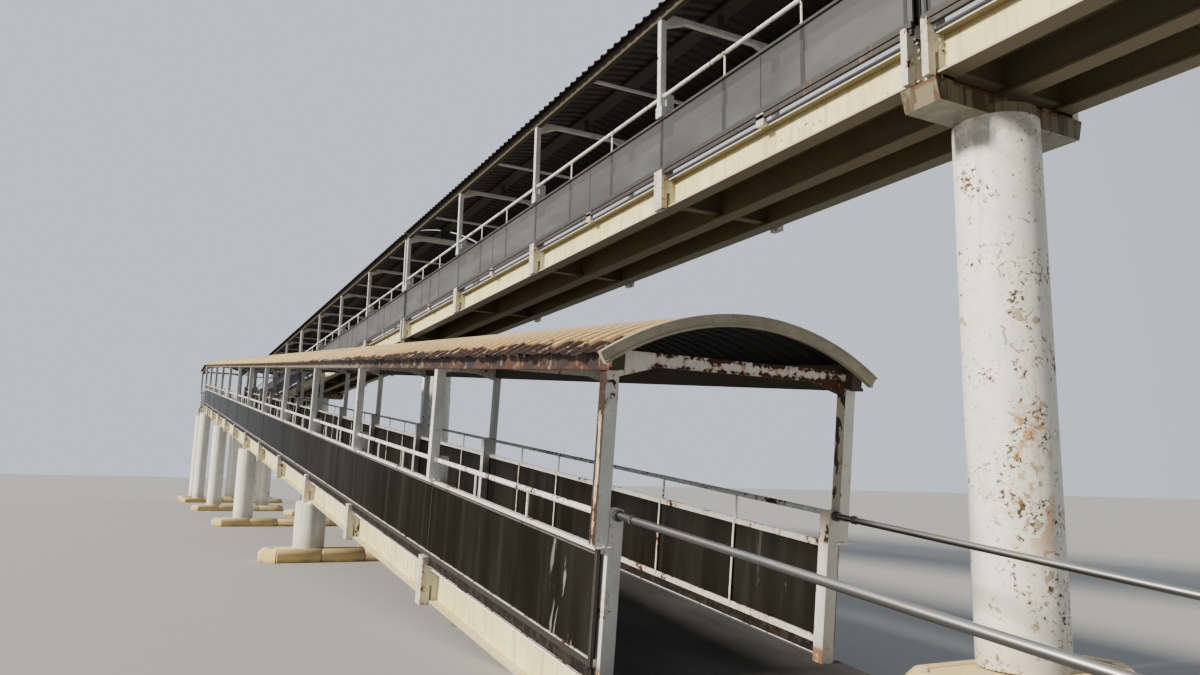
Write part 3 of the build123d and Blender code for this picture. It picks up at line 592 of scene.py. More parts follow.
def eave_steel(finish):
    """Eave beams: streaked rust near the ramp's front and plain brown paint elsewhere on their outer faces,
    and painted shade, a very dark brown, on every face that doesn't look outwards.
    """
    tints = settings("paint")
    left, sideways = finish.left, finish.facing(1)
    eaten = corrosion(finish) * left.rise(*LEFT_POSTS)
    runs = finish.noise(18, 4, stretch=(1, 1, 0.08))
    blotch = finish.noise(10, 5)
    base = finish.mix(runs.rise(0.4, 0.7) * 0.5, tints.eave, tone(tints.eave, 1.6))
    rusty = finish.mix(blotch.rise(0.44, 0.56), tone(tints.rust, 0.6), tone(tints.scale, 0.6))
    streaked = finish.mix(runs.rise(0.57, 0.62) * 0.5, rusty, (0.30, 0.20, 0.09))
    outer = finish.mix((eaten * 0.8 + blotch * 0.6).rise(0.62, 0.82), base, streaked)
    # Painted shade: faces that don't look outwards, such as the inner side, top and underside, take a very
    # dark brown.
    outward = sideways.size().rise(0.3, 0.6) * (left * sideways * left.size()).rise(-0.05, 0.05)
    finish.look(finish.mix(outward, tone(tints.under, 0.3), outer), runs * 0.5 + blotch * 0.5, 0.002, 0.6,
                Roughness=0.7)


def girder_paint(finish):
    """Cream webs: yellowed blotches, grime and painted shade under the top flange, a painted highlight along
    the top flange's outer edge, and brown soffits.
    """
    tints = settings("paint")
    left, sideways = finish.left, finish.facing(1)
    level_up = finish.up - DECK_LEVEL
    ramp_left, ramp_up = finish.axes(RAMP)[2:]
    beside_ramp = left.rise(0.5, 0.55)
    height = level_up + (ramp_up - level_up) * beside_ramp
    middle = left + (ramp_left - left) * beside_ramp
    blotch = finish.noise(3.2, 5, stretch=(1, 1, 1.6))
    fine = finish.noise(30, 6, rough=0.62, twist=0.5)
    runs = finish.noise(24, 4, stretch=(1, 1, 0.08))
    paint = finish.mix(blotch.rise(0.35, 0.65), tints.cream, (0.80, 0.75, 0.44))
    mottled = finish.mix(finish.noise(9, 6, rough=0.7).rise(0.50, 0.66) * 0.5, paint, (0.46, 0.43, 0.24))
    grime = finish.mix(runs.rise(0.48, 0.72) * 0.6, mottled, (0.38, 0.30, 0.17))
    # Grime and painted shade: a darker band along the top of the web, under the top flange.
    shaded = finish.mix(height.rise(-0.052, -0.028) * 0.75, grime, (0.22, 0.16, 0.10))
    flange = finish.mix(height.fall(-0.184, -0.181), shaded, (0.50, 0.42, 0.30))
    # Painted highlight: a near-white line along the outer edge of the top flange, on the faces that look
    # sideways.
    edge = (middle.size() - beside_ramp * 0.1).rise(0.405, 0.410) * height.rise(-0.05, -0.04)
    edge_highlit = finish.mix(edge * sideways.size().rise(0.5, 0.9), flange, (0.84, 0.82, 0.74))
    inward = (middle * sideways).fall(-0.2, -0.05)
    soffit = finish.mix(finish.facing(2).fall(-0.9, -0.4) | inward, edge_highlit, tints.under)
    bare = (fine * 0.7 + blotch * 0.3).rise(0.63, 0.65)
    finish.look(finish.mix(bare, soffit, tints.rust), (1 - bare) * 0.5 + fine * 0.4, 0.0012, 0.5,
                Roughness=0.55)


def fascia_sheet(finish):
    """Grey-beige flashing round the roof's front, dulled by dust and lichen."""
    patches = finish.noise(7, 5)
    specks = finish.noise(70, 4)
    paint = settings("paint").fascia
    base = finish.mix(patches.rise(0.35, 0.7), tone(paint, 0.86), tone(paint, 1.15))
    shade = finish.mix(specks.rise(0.6, 0.72) * 0.6, base, (0.16, 0.13, 0.09))
    finish.look(shade, patches * 0.5 + specks * 0.3, 0.001, 0.5, Roughness=0.62)


def stainless_pipe(finish):
    """Brushed stainless steel with dull patches and a little tea staining, and a painted reflection that is
    dark on the sides and underneath and bright on top.
    """
    brushed = finish.noise(260, 2, stretch=(0.05, 1, 1))
    patches = finish.noise(5, 4)
    worn = finish.mix(patches.rise(0.4, 0.75) * 0.6, (0.60, 0.59, 0.56), (0.36, 0.33, 0.29))
    # Painted reflection: dark on the faces that look sideways or down, and the stained steel colour on the
    # faces that look up.
    shade = finish.mix(finish.facing(2).rise(0.15, 0.85), (0.17, 0.165, 0.155), worn)
    finish.look(shade, brushed, 0.0003, 0.4, Metallic=1.0, Roughness=0.24 + patches * 0.2 + brushed * 0.08)


FINISHES = {
    "plinth_yellow": (kerb_stone, GROUND, {}),
    "bearing_rubber": (bearing_rubber, GROUND, {}),
    "deck_grey": (deck_surface, GROUND, {}),
    "glass_bridge": (bridge_glass, LEVEL, {}),
    "glass_ramp": (ramp_glass, RAMP, {}),
    "roof_cream": (roof_sheet, RAMP, dict(paint="roof_cream", node="ramp_roof", eaten=True)),
    "roof_brown": (roof_sheet, LEVEL, dict(paint="roof_brown", node="bridge_roof")),
    "eave_brown": (eave_steel, RAMP, {}),
    "girder_cream": (girder_paint, GROUND, {}),
    "fascia_grey": (fascia_sheet, RAMP, {}),
    "stainless": (stainless_pipe, RAMP, {}),
    "pier_white": (weathered, GROUND, dict(
        paint="white", rust=0.40, grain=50, patch=4.5, streaks=0.06, dirt=0.25, stain=0.35,
        metal=((0.034, 0.029, 0.019), (0.17, 0.105, 0.045)), more=fewer_flakes, over=cap_stains)),
    "under_steel": (weathered, GROUND, dict(
        paint="under", rust=0.2, grain=9, streaks=0.0, dirt=0.5, roughness=0.8, over=dusty_plates)),
    "bracket_grey": (weathered, GROUND, dict(
        paint="bracket", rust=0.42, grain=40, patch=7, streaks=0.5, dirt=0.5)),
    "frame_white": (weathered, RAMP, dict(
        paint="frame", rust=0.28, grain=34, patch=6, streaks=0.12, more=near_front, over=front_glow)),
    "portal_white": (weathered, RAMP, dict(
        paint="portal", rust=0.35, grain=42, patch=8, streaks=0.4,
        metal=((0.022, 0.008, 0.004), (0.105, 0.030, 0.006)), more=front_beam_rust, over=dark_underneath)),
    "rail_brown": (weathered, GROUND, dict(paint="brown", rust=0.14, grain=34, streaks=0.1, dirt=0.4)),
    "rail_white": (weathered, RAMP, dict(
        paint="rail", rust=0.44, grain=42, patch=6, streaks=0.15, more=top_face_rust, over=near_rail_paint)),
    "pipe_white": (weathered, GROUND, dict(
        paint="pipe", rust=0.47, grain=58, patch=7, streaks=0.05, stain=0.4,
        metal=((0.02, 0.014, 0.01), (0.06, 0.035, 0.02)))),
}


@lru_cache(maxsize=None)
def finish_of(slot):
    """Material for one slot of the record."""
    maker, walk, options = FINISHES[slot]
    finish = Finish(slot, walk)
    maker(finish, **options)
    return finish.material


def solids(node, walk=GROUND):
    """Lowest and highest corner of each solid of a CAD node, in a walkway's axes, in order along it."""
    mesh = bmesh.new()
    mesh.from_mesh(frame["nodes"][node].data)
    bmesh.ops.remove_doubles(mesh, verts=mesh.verts, dist=1e-6)
    bmesh.ops.transform(mesh, matrix=walk.inverted(), verts=mesh.verts)
    boxes, seen = [], set()
    for start in mesh.verts:
        if start in seen:
            continue
        island, front = [], [start]
        seen.add(start)
        while front:
            vert = front.pop()
            island.append(vert.co.copy())
            for edge in vert.link_edges:
                other = edge.other_vert(vert)
                if other not in seen:
                    seen.add(other)
                    front.append(other)
        boxes.append((Vector(map(min, *island)), Vector(map(max, *island))))
    mesh.free()
    return sorted(boxes, key=lambda box: (round(box[0].x, 4), box[0].y))


def middles(boxes):
    """Different places along the walkway of the boxes' centres."""
    return sorted({round((low.x + high.x) / 2, 4) for low, high in boxes})


def sided(low, high):
    """Side of the walkway that a solid is on, 1 or -1, and its nearest and farthest place from the middle."""
    out = sorted((abs(low.y), abs(high.y)))
    return 1 if low.y + high.y > 0 else -1, out[0], out[1]


class Parts:
    """Small shapes gathered into one mesh."""

    def __init__(self):
        self.points = []
        self.faces = []

    def add(self, shape, place=GROUND):
        """One more copy of a shape, which is (points, faces)."""
        points, faces = shape
        start = len(self.points)
        self.points += [place @ point for point in points]
        self.faces += [[start + i for i in face] for face in faces]

    def block(self, walk, along, out, up, side=1, bevel=0.0015):
        """Bevelled block from its spans along a walkway, out to one side of its middle, and up."""
        low, high = (Vector((x, side * y, z)) for x, y, z in zip(along, out, up))
        shape = bevelled(*(round(abs(x), 5) for x in high - low), bevel)
        self.add(shape, walk @ Matrix.Translation((low + high) / 2))

    def rod(self, start, end, profile, sides=PIPE_SIDES):
        """Shape turned about the line between two points, from radii and shares of the line's length."""
        start, end = Vector(start), Vector(end)
        run = end - start
        outline = tuple((radius, share * run.length) for radius, share in profile)
        self.add(turned(outline, sides), Matrix.Translation(start) @ toward(run))

    def stud(self, shape, walk, spot, direction=None):
        """Screw, rivet or bolt standing on a spot, up from the floor or in a direction."""
        place = walk @ Matrix.Translation(spot)
        self.add(shape, place @ toward(direction) if direction else place)

    def piece(self, name, slot, *replaced):
        """Object with the slot's finish, riding with the frame, in place of any CAD nodes named."""
        mesh = bpy.data.meshes.new(name)
        mesh.from_pydata([tuple(p) for p in self.points], [], self.faces)
        mesh.validate()
        mesh.materials.append(finish_of(slot))
        mesh.shade_smooth()
        mesh.set_sharp_from_angle(angle=SHARP)
        made = bpy.data.objects.new(name, mesh)
        bpy.context.scene.collection.objects.link(made)
        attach(made, "root")
        if replaced:
            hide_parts(*replaced)


def toward(direction):
    """Turns a shape's Z axis to a direction."""
    return Vector(direction).to_track_quat("Z", "Y").to_matrix().to_4x4()


def eased(mesh, bevel):
    """Points and faces of a bmesh once its edges are bevelled. The bmesh is freed."""
    bmesh.ops.bevel(mesh, geom=mesh.edges[:], offset=bevel, segments=1, affect="EDGES", clamp_overlap=True)
    mesh.verts.index_update()
    shape = ([v.co.copy() for v in mesh.verts], [[v.index for v in face.verts] for face in mesh.faces])
    mesh.free()
    return shape


@lru_cache(maxsize=None)
def bevelled(long, wide, high, bevel):
    """Block with bevelled edges, about its centre."""
    mesh = bmesh.new()
    bmesh.ops.create_cube(mesh, size=1)
    bmesh.ops.scale(mesh, vec=(long, wide, high), verts=mesh.verts)
    return eased(mesh, min(bevel, long / 4, wide / 4, high / 4))


def softened(shape, bevel):
    """Shape with its edges bevelled."""
    points, faces = shape
    mesh = bmesh.new()
    verts = [mesh.verts.new(point) for point in points]
    for face in faces:
        mesh.faces.new([verts[i] for i in face])
    bmesh.ops.recalc_face_normals(mesh, faces=mesh.faces)
    return eased(mesh, bevel)


def lofted(rings, looped=False):
    """Skin through rings of points: capped at both ends, or looped from the last ring to the first."""
    width, count = len(rings[0]), len(rings)
    faces = []
    for r in range(count if looped else count - 1):
        for i in range(width):
            j = (i + 1) % width
            a, b = r * width, (r + 1) % count * width
            faces.append([a + i, a + j, b + j, b + i])
    if not looped:
        faces.append(list(range(width))[::-1])
        faces.append([(count - 1) * width + i for i in range(width)])
    return [point for ring in rings for point in ring], faces


def around(radius, sides):
    """Places round a circle, as pairs of numbers."""
    return [(radius * cos(tau * i / sides), radius * sin(tau * i / sides)) for i in range(sides)]


@lru_cache(maxsize=None)
def turned(profile, sides):
    """Shape turned about Z from (radius, height) pairs, closed at both ends."""
    return lofted([[Vector((x, y, height)) for x, y in around(radius, sides)] for radius, height in profile])


def plain(radius):
    """Profile of a round bar, for Parts.rod."""
    return (radius, 0), (radius, 1)


def hex_bolt(size):
    """Hexagon head on a washer, standing on its seat."""
    return turned(((size * 0.75, 0), (size * 0.75, size * 0.12), (size * 0.55, size * 0.13),
                   (size * 0.55, size * 0.5), (size * 0.45, size * 0.58)), 6)


def rivet_head(size):
    """Low domed head."""
    return turned(((size / 2, 0), (size * 0.42, size * 0.2), (size * 0.2, size * 0.32)), 8)


def screw_head(size):
    """Hexagon head on a thin sealing washer."""
    return turned(((size * 0.9, 0), (size * 0.8, 0.0012), (size * 0.5, 0.0014), (size * 0.45, 0.004)), 6)


def roof_runs(node):
    """Walkway axes and box of each arched run of a roof node."""
    if node == "bridge_roof":
        return [(LEVEL, box) for box in solids(node, LEVEL)]
    return [(RAMP, solids(node, RAMP)[0]), (OVER_RAMP, solids(node, OVER_RAMP)[-1])]


def rib_rhythm(box):
    """Start, pitch and number of the ribs of one roof run."""
    low, high = box
    ribs = max(1, round((high.x - low.x) / settings("roof").rib_pitch))
    return low.x, (high.x - low.x) / ribs, ribs


def rib_wave(along):
    """Rib profile from 0 in the pan to 1 on the crest: narrow flat ribs with sloping sides."""
    steepness, pan = 6, 1.6
    return min(1, max(0, (0.5 - abs(along % 1 - 0.5)) * steepness - pan))


def eave_loss(along):
    """How far rust has eaten the ramp's left eave at one place along it."""
    roof = settings("roof")
    bite_rate, tooth_rate, usual = 9, 60, 0.35
    share = max(0, 1 - max(0, along) / roof.eaten_length)
    bites = noise.fractal(Vector((along * bite_rate, 3.1, 0)), 0.8, 2.2, 4) * 0.7
    ragged = bites + noise.noise(Vector((along * tooth_rate, 0, 7)))
    return roof.eaten_depth * share ** 1.5 * max(0, min(1, usual + ragged * 0.7))


class Arch:
    """Arch that fills a roof's box, across the walkway."""

    def __init__(self, box):
        low, high = box
        self.radius = settings("roof").radius
        self.middle = (low.y + high.y) / 2
        self.centre = high.z - self.radius
        self.spread = asin((high.y - low.y) / 2 / self.radius)

    def at(self, along, reach, angle):
        """Point at a radius and an angle from upright."""
        return Vector((along, self.middle + reach * sin(angle), self.centre + reach * cos(angle)))

    def strip(self, along, radii, share=1.0, steps=36):
        """Bar bent along the arch, between two places along the walkway and two radii."""
        (start, end), (inner, outer) = along, radii
        rings = []
        for i in range(steps + 1):
            angle = self.spread * share * (2 * i / steps - 1)
            rings.append([self.at(x, reach, angle)
                          for x, reach in ((end, inner), (end, outer), (start, outer), (start, inner))])
        return lofted(rings)

    def turn(self, angle):
        """Turn about the arch's middle line."""
        shift = Matrix.Translation((0, self.middle, self.centre))
        return shift @ Matrix.Rotation(-angle, 4, "X") @ shift.inverted()


def corrugated_roof(node, name, slot):
    """Ribbed sheets bent over the arch of each roof run."""
    roof = settings("roof")
    stations = (0, 0.27, 0.43, 0.57, 0.73)
    clearance = 0.0005
    gathered = Parts()
    for walk, box in roof_runs(node):
        arch = Arch(box)
        start, pitch, ribs = rib_rhythm(box)
        rings = []
        for along in [start + pitch * (i + s) for i in range(ribs) for s in stations] + [box[1].x]:
            crest = rib_wave((along - start) / pitch)
            relief = (1 - crest) * roof.rib_depth
            lost = eave_loss(along) * (1 - crest * 0.55) / roof.radius if walk is RAMP else 0
            ring = []
            for skin, flip in ((0, 1), (roof.sheet, -1)):
                reach = roof.radius - relief - skin - clearance
                for i in range(roof.arc_steps + 1)[::flip]:
                    angle = -arch.spread + (2 * arch.spread - lost) * i / roof.arc_steps
                    ring.append(arch.at(along, reach, angle))
            rings.append(ring)
        gathered.add(lofted(rings), walk)
    gathered.piece(name, slot, node)


def roof_screws(node, name, slot):
    """Screws with sealing washers in the pans of the roof sheets, in rows over the purlins."""
    roof = settings("roof")
    sunk, outermost = 0.0008, 0.9
    gathered = Parts()
    for walk, box in roof_runs(node):
        arch = Arch(box)
        start, pitch, ribs = rib_rhythm(box)
        for i in range(1, ribs, 2):
            for row in range(roof.screw_rows):
                angle = arch.spread * (outermost - 2 * outermost * row / (roof.screw_rows - 1))
                spot = arch.at(start + pitch * i, roof.radius - roof.rib_depth - sunk, angle)
                gathered.stud(screw_head(roof.screw), walk, spot, (0, sin(angle), cos(angle)))
    gathered.piece(name, slot)


def inset(outline, depth):
    """Outline moved inwards, its sides parallel to the old ones."""
    count = len(outline)
    moved = []
    for i in range(count):
        before = (outline[i] - outline[i - 1]).normalized()
        after = (outline[(i + 1) % count] - outline[i]).normalized()
        turn = Vector((-before.y, before.x, 0)) + Vector((-after.y, after.x, 0))
        moved.append(outline[i] + turn * depth / (1 + before.dot(after)))
    return moved


def plinth_ring(gathered, low, high):
    """Kerb stones round one plinth, its corners cut, over a mortar bed."""
    fittings = settings("fittings")
    cut, top = fittings.plinth_corner, high.z
    corners = ((low.x + cut, low.y), (high.x - cut, low.y), (high.x, low.y + cut), (high.x, high.y - cut),
               (high.x - cut, high.y), (low.x + cut, high.y), (low.x, high.y - cut), (low.x, low.y + cut))
    outer = [Vector((x, y, 0)) for x, y in corners]
    inner = inset(outer, fittings.kerb_depth)
    crown, shoulder = Vector((0, 0, top)), Vector((0, 0, top - fittings.kerb_bevel))
    for a, b, c, d in zip(outer, outer[1:] + outer[:1], inner, inner[1:] + inner[:1]):
        run = (b - a).length
        count = max(1, round(run / fittings.kerb))
        gap = fittings.kerb_joint / run / 2 * count
        for i in range(count):
            ends = []
            for share in ((i + gap) / count, (i + 1 - gap) / count):
                out, deep = a.lerp(b, share), c.lerp(d, share)
                edge = out.lerp(deep, fittings.kerb_bevel / fittings.kerb_depth)
                ends.append([deep, deep + crown, edge + crown, out + shoulder, out])
            gathered.add(softened(lofted(ends), fittings.kerb_edge))
    bed = inset(outer, fittings.kerb_joint * 1.6)
    lid = inset(outer, fittings.kerb_bevel)
    sunk = Vector((0, 0, top - fittings.kerb_joint))
    gathered.add(lofted([bed, [p + shoulder for p in bed], [p + sunk for p in lid]]))


def coat(low, high, top_at):
    """Smooth skin round a column in a box, its top edge at the height that top_at gives for each place."""
    middle_x, middle_y = (low.x + high.x) / 2, (low.y + high.y) / 2
    inner = (high.x - low.x) / 2
    outer = inner + settings("fittings").coat
    rings = []
    for reach, raised in ((inner, False), (outer, False), (outer, True), (inner, True)):
        spots = [(middle_x + x, middle_y + y) for x, y in around(reach, COAT_SIDES)]
        rings.append([Vector((x, y, top_at(x, y) if raised else low.z)) for x, y in spots])
    return lofted(rings, looped=True)


def plane_height(walk, x, up):
    """World height of a point at one height over a walkway's floor."""
    rise = walk.col[2].xyz
    return walk.translation.z + (up - rise.x * (x - walk.translation.x)) / rise.z


class BRIDGE_OT_finish(bpy.types.Operator):
    """Give every node of the frame the finish of its material slot"""
    bl_idname = "boarding_bridge.finish"
    bl_label = "Frame Finishes"

    def execute(self, context):
        for row in frame["record"]["subparts"]:
            for place in frame["nodes"][row["node"]].material_slots:
                place.material = finish_of(row["material_slot"])
        return {"FINISHED"}


class BRIDGE_OT_bridge_roof(bpy.types.Operator):
    """Bend brown ribbed sheets over the level bridge and screw them down"""
    bl_idname = "boarding_bridge.bridge_roof"
    bl_label = "Bridge Roof"

    def execute(self, context):
        corrugated_roof("bridge_roof", "bridge_roof_sheets", "roof_brown")
        roof_screws("bridge_roof", "bridge_roof_screws", "roof_brown")
        return {"FINISHED"}


class BRIDGE_OT_ramp_roof(bpy.types.Operator):
    """Bend cream ribbed sheets over the ramp, their front eave eaten by rust, and screw them down"""
    bl_idname = "boarding_bridge.ramp_roof"
    bl_label = "Ramp Roof"

    def execute(self, context):
        corrugated_roof("ramp_roof", "ramp_roof_sheets", "roof_cream")
        roof_screws("ramp_roof", "ramp_roof_screws", "stainless")
        return {"FINISHED"}


class BRIDGE_OT_trims(bpy.types.Operator):
    """Fold the edges round the front arch and fix the lips along the eaves"""
    bl_idname = "boarding_bridge.trims"
    bl_label = "Roof Trims"

    def execute(self, context):
        roof = settings("roof")
        fascia = Parts()
        box = solids("ramp_front_arch", RAMP)[0]
        arch = Arch(box)
        face = box[0].x
        low_edge, top_edge = roof.radius - roof.trim_depth, roof.radius
        for radii in ((low_edge, low_edge + roof.trim * 1.5), (top_edge - roof.trim, top_edge)):
            fascia.add(arch.strip((face - roof.trim, face), radii), RAMP)
        lap = arch.strip((face - 0.002, face), (low_edge + roof.trim, top_edge - roof.trim), 0.035, 4)
        fascia.add(lap, RAMP @ arch.turn(0.14))
        outermost = 0.94
        for i in range(roof.trim_rivets):
            angle = arch.spread * (outermost - 2 * outermost * i / (roof.trim_rivets - 1))
            spot = arch.at(face, roof.radius - roof.trim_depth / 2, angle)
            fascia.stud(rivet_head(settings("fittings").rivet), RAMP, spot, (-1, 0, 0))
        fascia.piece("front_arch_trim", "fascia_grey")
        lips = Parts()
        for low, high in solids("ramp_eave_beams", RAMP)[:2]:
            side, inner, outer = sided(low, high)
            along = (low.x, high.x)
            lips.block(RAMP, along, (outer - 0.03, outer + 0.010), (low.z - 0.004, low.z), side)
            lips.block(RAMP, along, (outer + 0.006, outer + 0.010), (low.z, low.z + 0.010), side)
        lips.piece("ramp_eave_lips", "eave_brown")
        return {"FINISHED"}


class BRIDGE_OT_hand_rails(bpy.types.Operator):
    """Run round pipes on stubs along the walkways, with collars where they meet"""
    bl_idname = "boarding_bridge.hand_rails"
    bl_label = "Hand Rails"

    def execute(self, context):
        fittings = settings("fittings")
        collars = Parts()
        for part, walk in (("bridge", LEVEL), ("ramp", RAMP), ("landing", LEVEL)):
            pipes = Parts()
            node = part + "_handrails"
            rail_top = max(high.z for low, high in solids(part + "_panel_rails", walk))
            for low, high in solids(node, walk):
                middle = (low + high) / 2
                radius = (high.y - low.y) / 2
                start, end = (walk @ Vector((x, middle.y, middle.z)) for x in (low.x, high.x))
                pipes.rod(start, end, plain(radius))
                wide = radius + fittings.collar
                grip = fittings.collar_length / (high.x - low.x)
                cuff = ((radius, 0), (wide, grip * 0.12), (wide, grip * 0.88), (radius, grip))
                collars.rod(start, end, cuff)
                collars.rod(end, start, cuff)
                step = (high.x - low.x) / (fittings.stubs + 1)
                stub, washer = (middle.z - rail_top, fittings.stub / 2), (0.004, fittings.stub * 0.9)
                for i in range(1, fittings.stubs + 1):
                    foot = Vector((low.x + step * i, middle.y, rail_top))
                    for rise, half in (stub, washer):
                        pipes.rod(walk @ foot, walk @ (foot + Vector((0, 0, rise))), plain(half), 8)
            pipes.piece(part + "_rail_pipes", "pipe_white", node)
        collars.piece("rail_collars", "bracket_grey")
        return {"FINISHED"}


class BRIDGE_OT_entry_rails(bpy.types.Operator):
    """Run stainless pipes down beside the open toe, on posts with bolted feet"""
    bl_idname = "boarding_bridge.entry_rails"
    bl_label = "Entry Rails"

    def execute(self, context):
        fittings = settings("fittings")
        slimmer, flange, bolt_ring = 0.002, 2.4, 1.85
        sleeves = ((0.0, 0.020), (-0.10, 0.0165))
        pipes, cuffs = Parts(), Parts()
        hand_rails = solids("ramp_handrails", RAMP)
        rail_half = (hand_rails[0][1].z - hand_rails[0][0].z) / 2
        height = max(high.z for low, high in hand_rails) - rail_half
        for low, high in solids("entry_rails", RAMP):
            middle = (low.y + high.y) / 2
            post_half = (high.y - low.y) / 2
            radius = post_half - slimmer
            start, end = Vector((high.x, middle, height)), Vector((low.x, middle, height))
            dome = ((radius, 0), (radius, 1 - 0.006), (radius * 0.8, 1 - 0.002), (radius * 0.4, 1))
            pipes.rod(RAMP @ start, RAMP @ end, dome, ENTRY_PIPE_SIDES)
            post_top = RAMP @ Vector((low.x + 2 * post_half, middle, height))
            foot = Vector((post_top.x, post_top.y, 0))
            plate_top = foot + Vector((0, 0, fittings.plate))
            pipes.rod(foot, post_top, plain(post_half), ENTRY_PIPE_SIDES)
            pipes.rod(foot, plate_top, plain(post_half * flange), ENTRY_PIPE_SIDES)
            for x, y in around(post_half * bolt_ring, 8)[1::2]:
                pipes.stud(hex_bolt(fittings.small_bolt), GROUND, plate_top + Vector((x, y, 0)))
            for behind, wide in sleeves:
                place = start + Vector((behind, 0, 0))
                back = place - Vector((fittings.collar_length, 0, 0))
                cuffs.rod(RAMP @ place, RAMP @ back, ((radius, 0), (wide, 0.1), (wide, 0.9), (radius, 1)), 20)
        pipes.piece("entry_rail_pipes", "stainless", "entry_rails")
        cuffs.piece("entry_rail_collars", "rail_brown")
        return {"FINISHED"}


class BRIDGE_OT_panel_fittings(bpy.types.Operator):
    """Put bars behind the panels, strips over their joints, beads on their rails and riveted end frames"""
    bl_idname = "boarding_bridge.panel_fittings"
    bl_label = "Panel Fittings"

    def execute(self, context):
        fittings = settings("fittings")
        for part, walk, width, slot in (("bridge", LEVEL, fittings.broad_mullion, "rail_brown"),
                                        ("ramp", RAMP, fittings.mullion, "rail_white")):
            bars, strips, beads, dark_skirts = Parts(), Parts(), Parts(), Parts()
            frames = middles(solids(part + "_stub_posts", walk))
            rails = solids(part + "_panel_rails", walk)
            inner = min(sided(*rail)[1] for rail in rails)
            outer = max(sided(*rail)[2] for rail in rails)
            foot = min(low.z for low, high in rails)
            top = max(high.z for low, high in rails)
            for low, high in solids(part + "_panels", walk):
                side, near, face = sided(low, high)
                along = (low.x, high.x)
                stations = [x for x in frames if low.x - 0.1 < x < high.x + 0.1]
                for start, end in zip(stations, stations[1:]):
                    step = (end - start) / (fittings.stubs + 1)
                    for x in (start + step * i for i in range(1, fittings.stubs + 1)):
                        bars.block(walk, (x - width / 2, x + width / 2), (inner - 0.005, inner),
                                   (foot + 0.01, top - 0.004), side)
                    for x in (start, (start + end) / 2)[:2 if walk is LEVEL else 1]:
                        strips.block(walk, (x - fittings.joint / 2, x + fittings.joint / 2),
                                     (face, face + fittings.proud), (low.z, high.z), side, 0.0008)
                up = (high.z - fittings.bead, high.z)
                beads.block(walk, along, (face - 0.001, outer + 0.002), up, side)
                if walk is RAMP:
                    # Painted highlight: a light strip at the foot of the ramp's panels, under the dark skirt.
                    beads.block(walk, along, (face - 0.006, outer), (0.004, 0.008), side)
                    # Dark skirt below the ramp's panels, in black rubber, which stands for the shade in the
                    # gap over the girder.
                    out = (face - 0.004, face + fittings.proud)
                    dark_skirts.block(walk, along, out, (0.008, foot), side)
                else:
                    dark_skirts.block(walk, along, (face - 0.010, outer), (0.014, foot - 0.006), side)
            bars.piece(part + "_panel_bars", slot)
            strips.piece(part + "_panel_joints", "rail_brown")
            beads.piece(part + "_panel_beads", slot)
            dark_skirts.piece(part + "_panel_seals", "bearing_rubber" if walk is RAMP else slot)
        self.end_frames()
        return {"FINISHED"}

    def end_frames(self):
        """Channels at the front of the ramp's panels, with rivets up their outer face."""
        fittings = settings("fittings")
        web, lips = (0.0, 0.014), ((-0.003, 0.001), (0.011, 0.015))
        end_space = 0.03
        channels, rivets = Parts(), Parts()
        rails = solids("ramp_panel_rails", RAMP)
        top = round(max(high.z for low, high in rails), 4)
        for low, high in rails[:4]:
            if high.z > top / 2:
                continue
            side, inner, outer = sided(low, high)
            up = (low.z, top)
            for along in lips:
                channels.block(RAMP, along, (outer - 0.010, outer + 0.004), up, side)
            channels.block(RAMP, web, (outer - 0.010, outer + 0.002), up, side)
            run = top - low.z
            count = int(run / fittings.rivet_pitch)
            for i in range(count + 1):
                height = low.z + end_space + (run - 2 * end_space) * i / count
                spot = (sum(web) / 2, side * (outer + fittings.proud), height)
                rivets.stud(rivet_head(fittings.rivet), RAMP, spot, (0, side, 0))
        channels.piece("panel_end_frames", "rail_brown")
        rivets.piece("panel_end_rivets", "stainless")


class BRIDGE_OT_kerbs(bpy.types.Operator):
    """Ring each plinth with bevelled kerb stones"""
    bl_idname = "boarding_bridge.kerbs"
    bl_label = "Kerb Stones"

    def execute(self, context):
        for node in ("bridge_plinths", "ramp_plinths", "shared_plinths"):
            stones = Parts()
            for low, high in solids(node):
                plinth_ring(stones, low, high)
            stones.piece(node.replace("plinths", "kerb_stones"), "plinth_yellow", node)
        return {"FINISHED"}


class BRIDGE_OT_coats(bpy.types.Operator):
    """Skin the piers and columns with a smooth painted coat"""
    bl_idname = "boarding_bridge.coats"
    bl_label = "Pier and Column Coats"

    def execute(self, context):
        piers, columns = Parts(), Parts()
        for low, high in solids("bridge_piers"):
            piers.add(coat(low, high, lambda x, y: high.z - CAP_DEPTH))
        piers.piece("pier_coats", "pier_white")
        foot = min(low.z for low, high in solids("ramp_girders", RAMP))
        bracket_foot = min(low.z for low, high in solids("ramp_brackets", RAMP))
        inner = min(sided(*rail)[1] for rail in solids("ramp_panel_rails", RAMP))
        for low, high in solids("ramp_columns"):
            walk = RAMP if (low.x + high.x) / 2 < RAMP_END else OVER_RAMP

            def top_at(x, y):
                beyond = abs(y - RAMP_MIDDLE) > inner
                return plane_height(walk, x, bracket_foot if beyond else foot)
            columns.add(coat(low, high, top_at))
        columns.piece("column_coats", "pier_white")
        return {"FINISHED"}


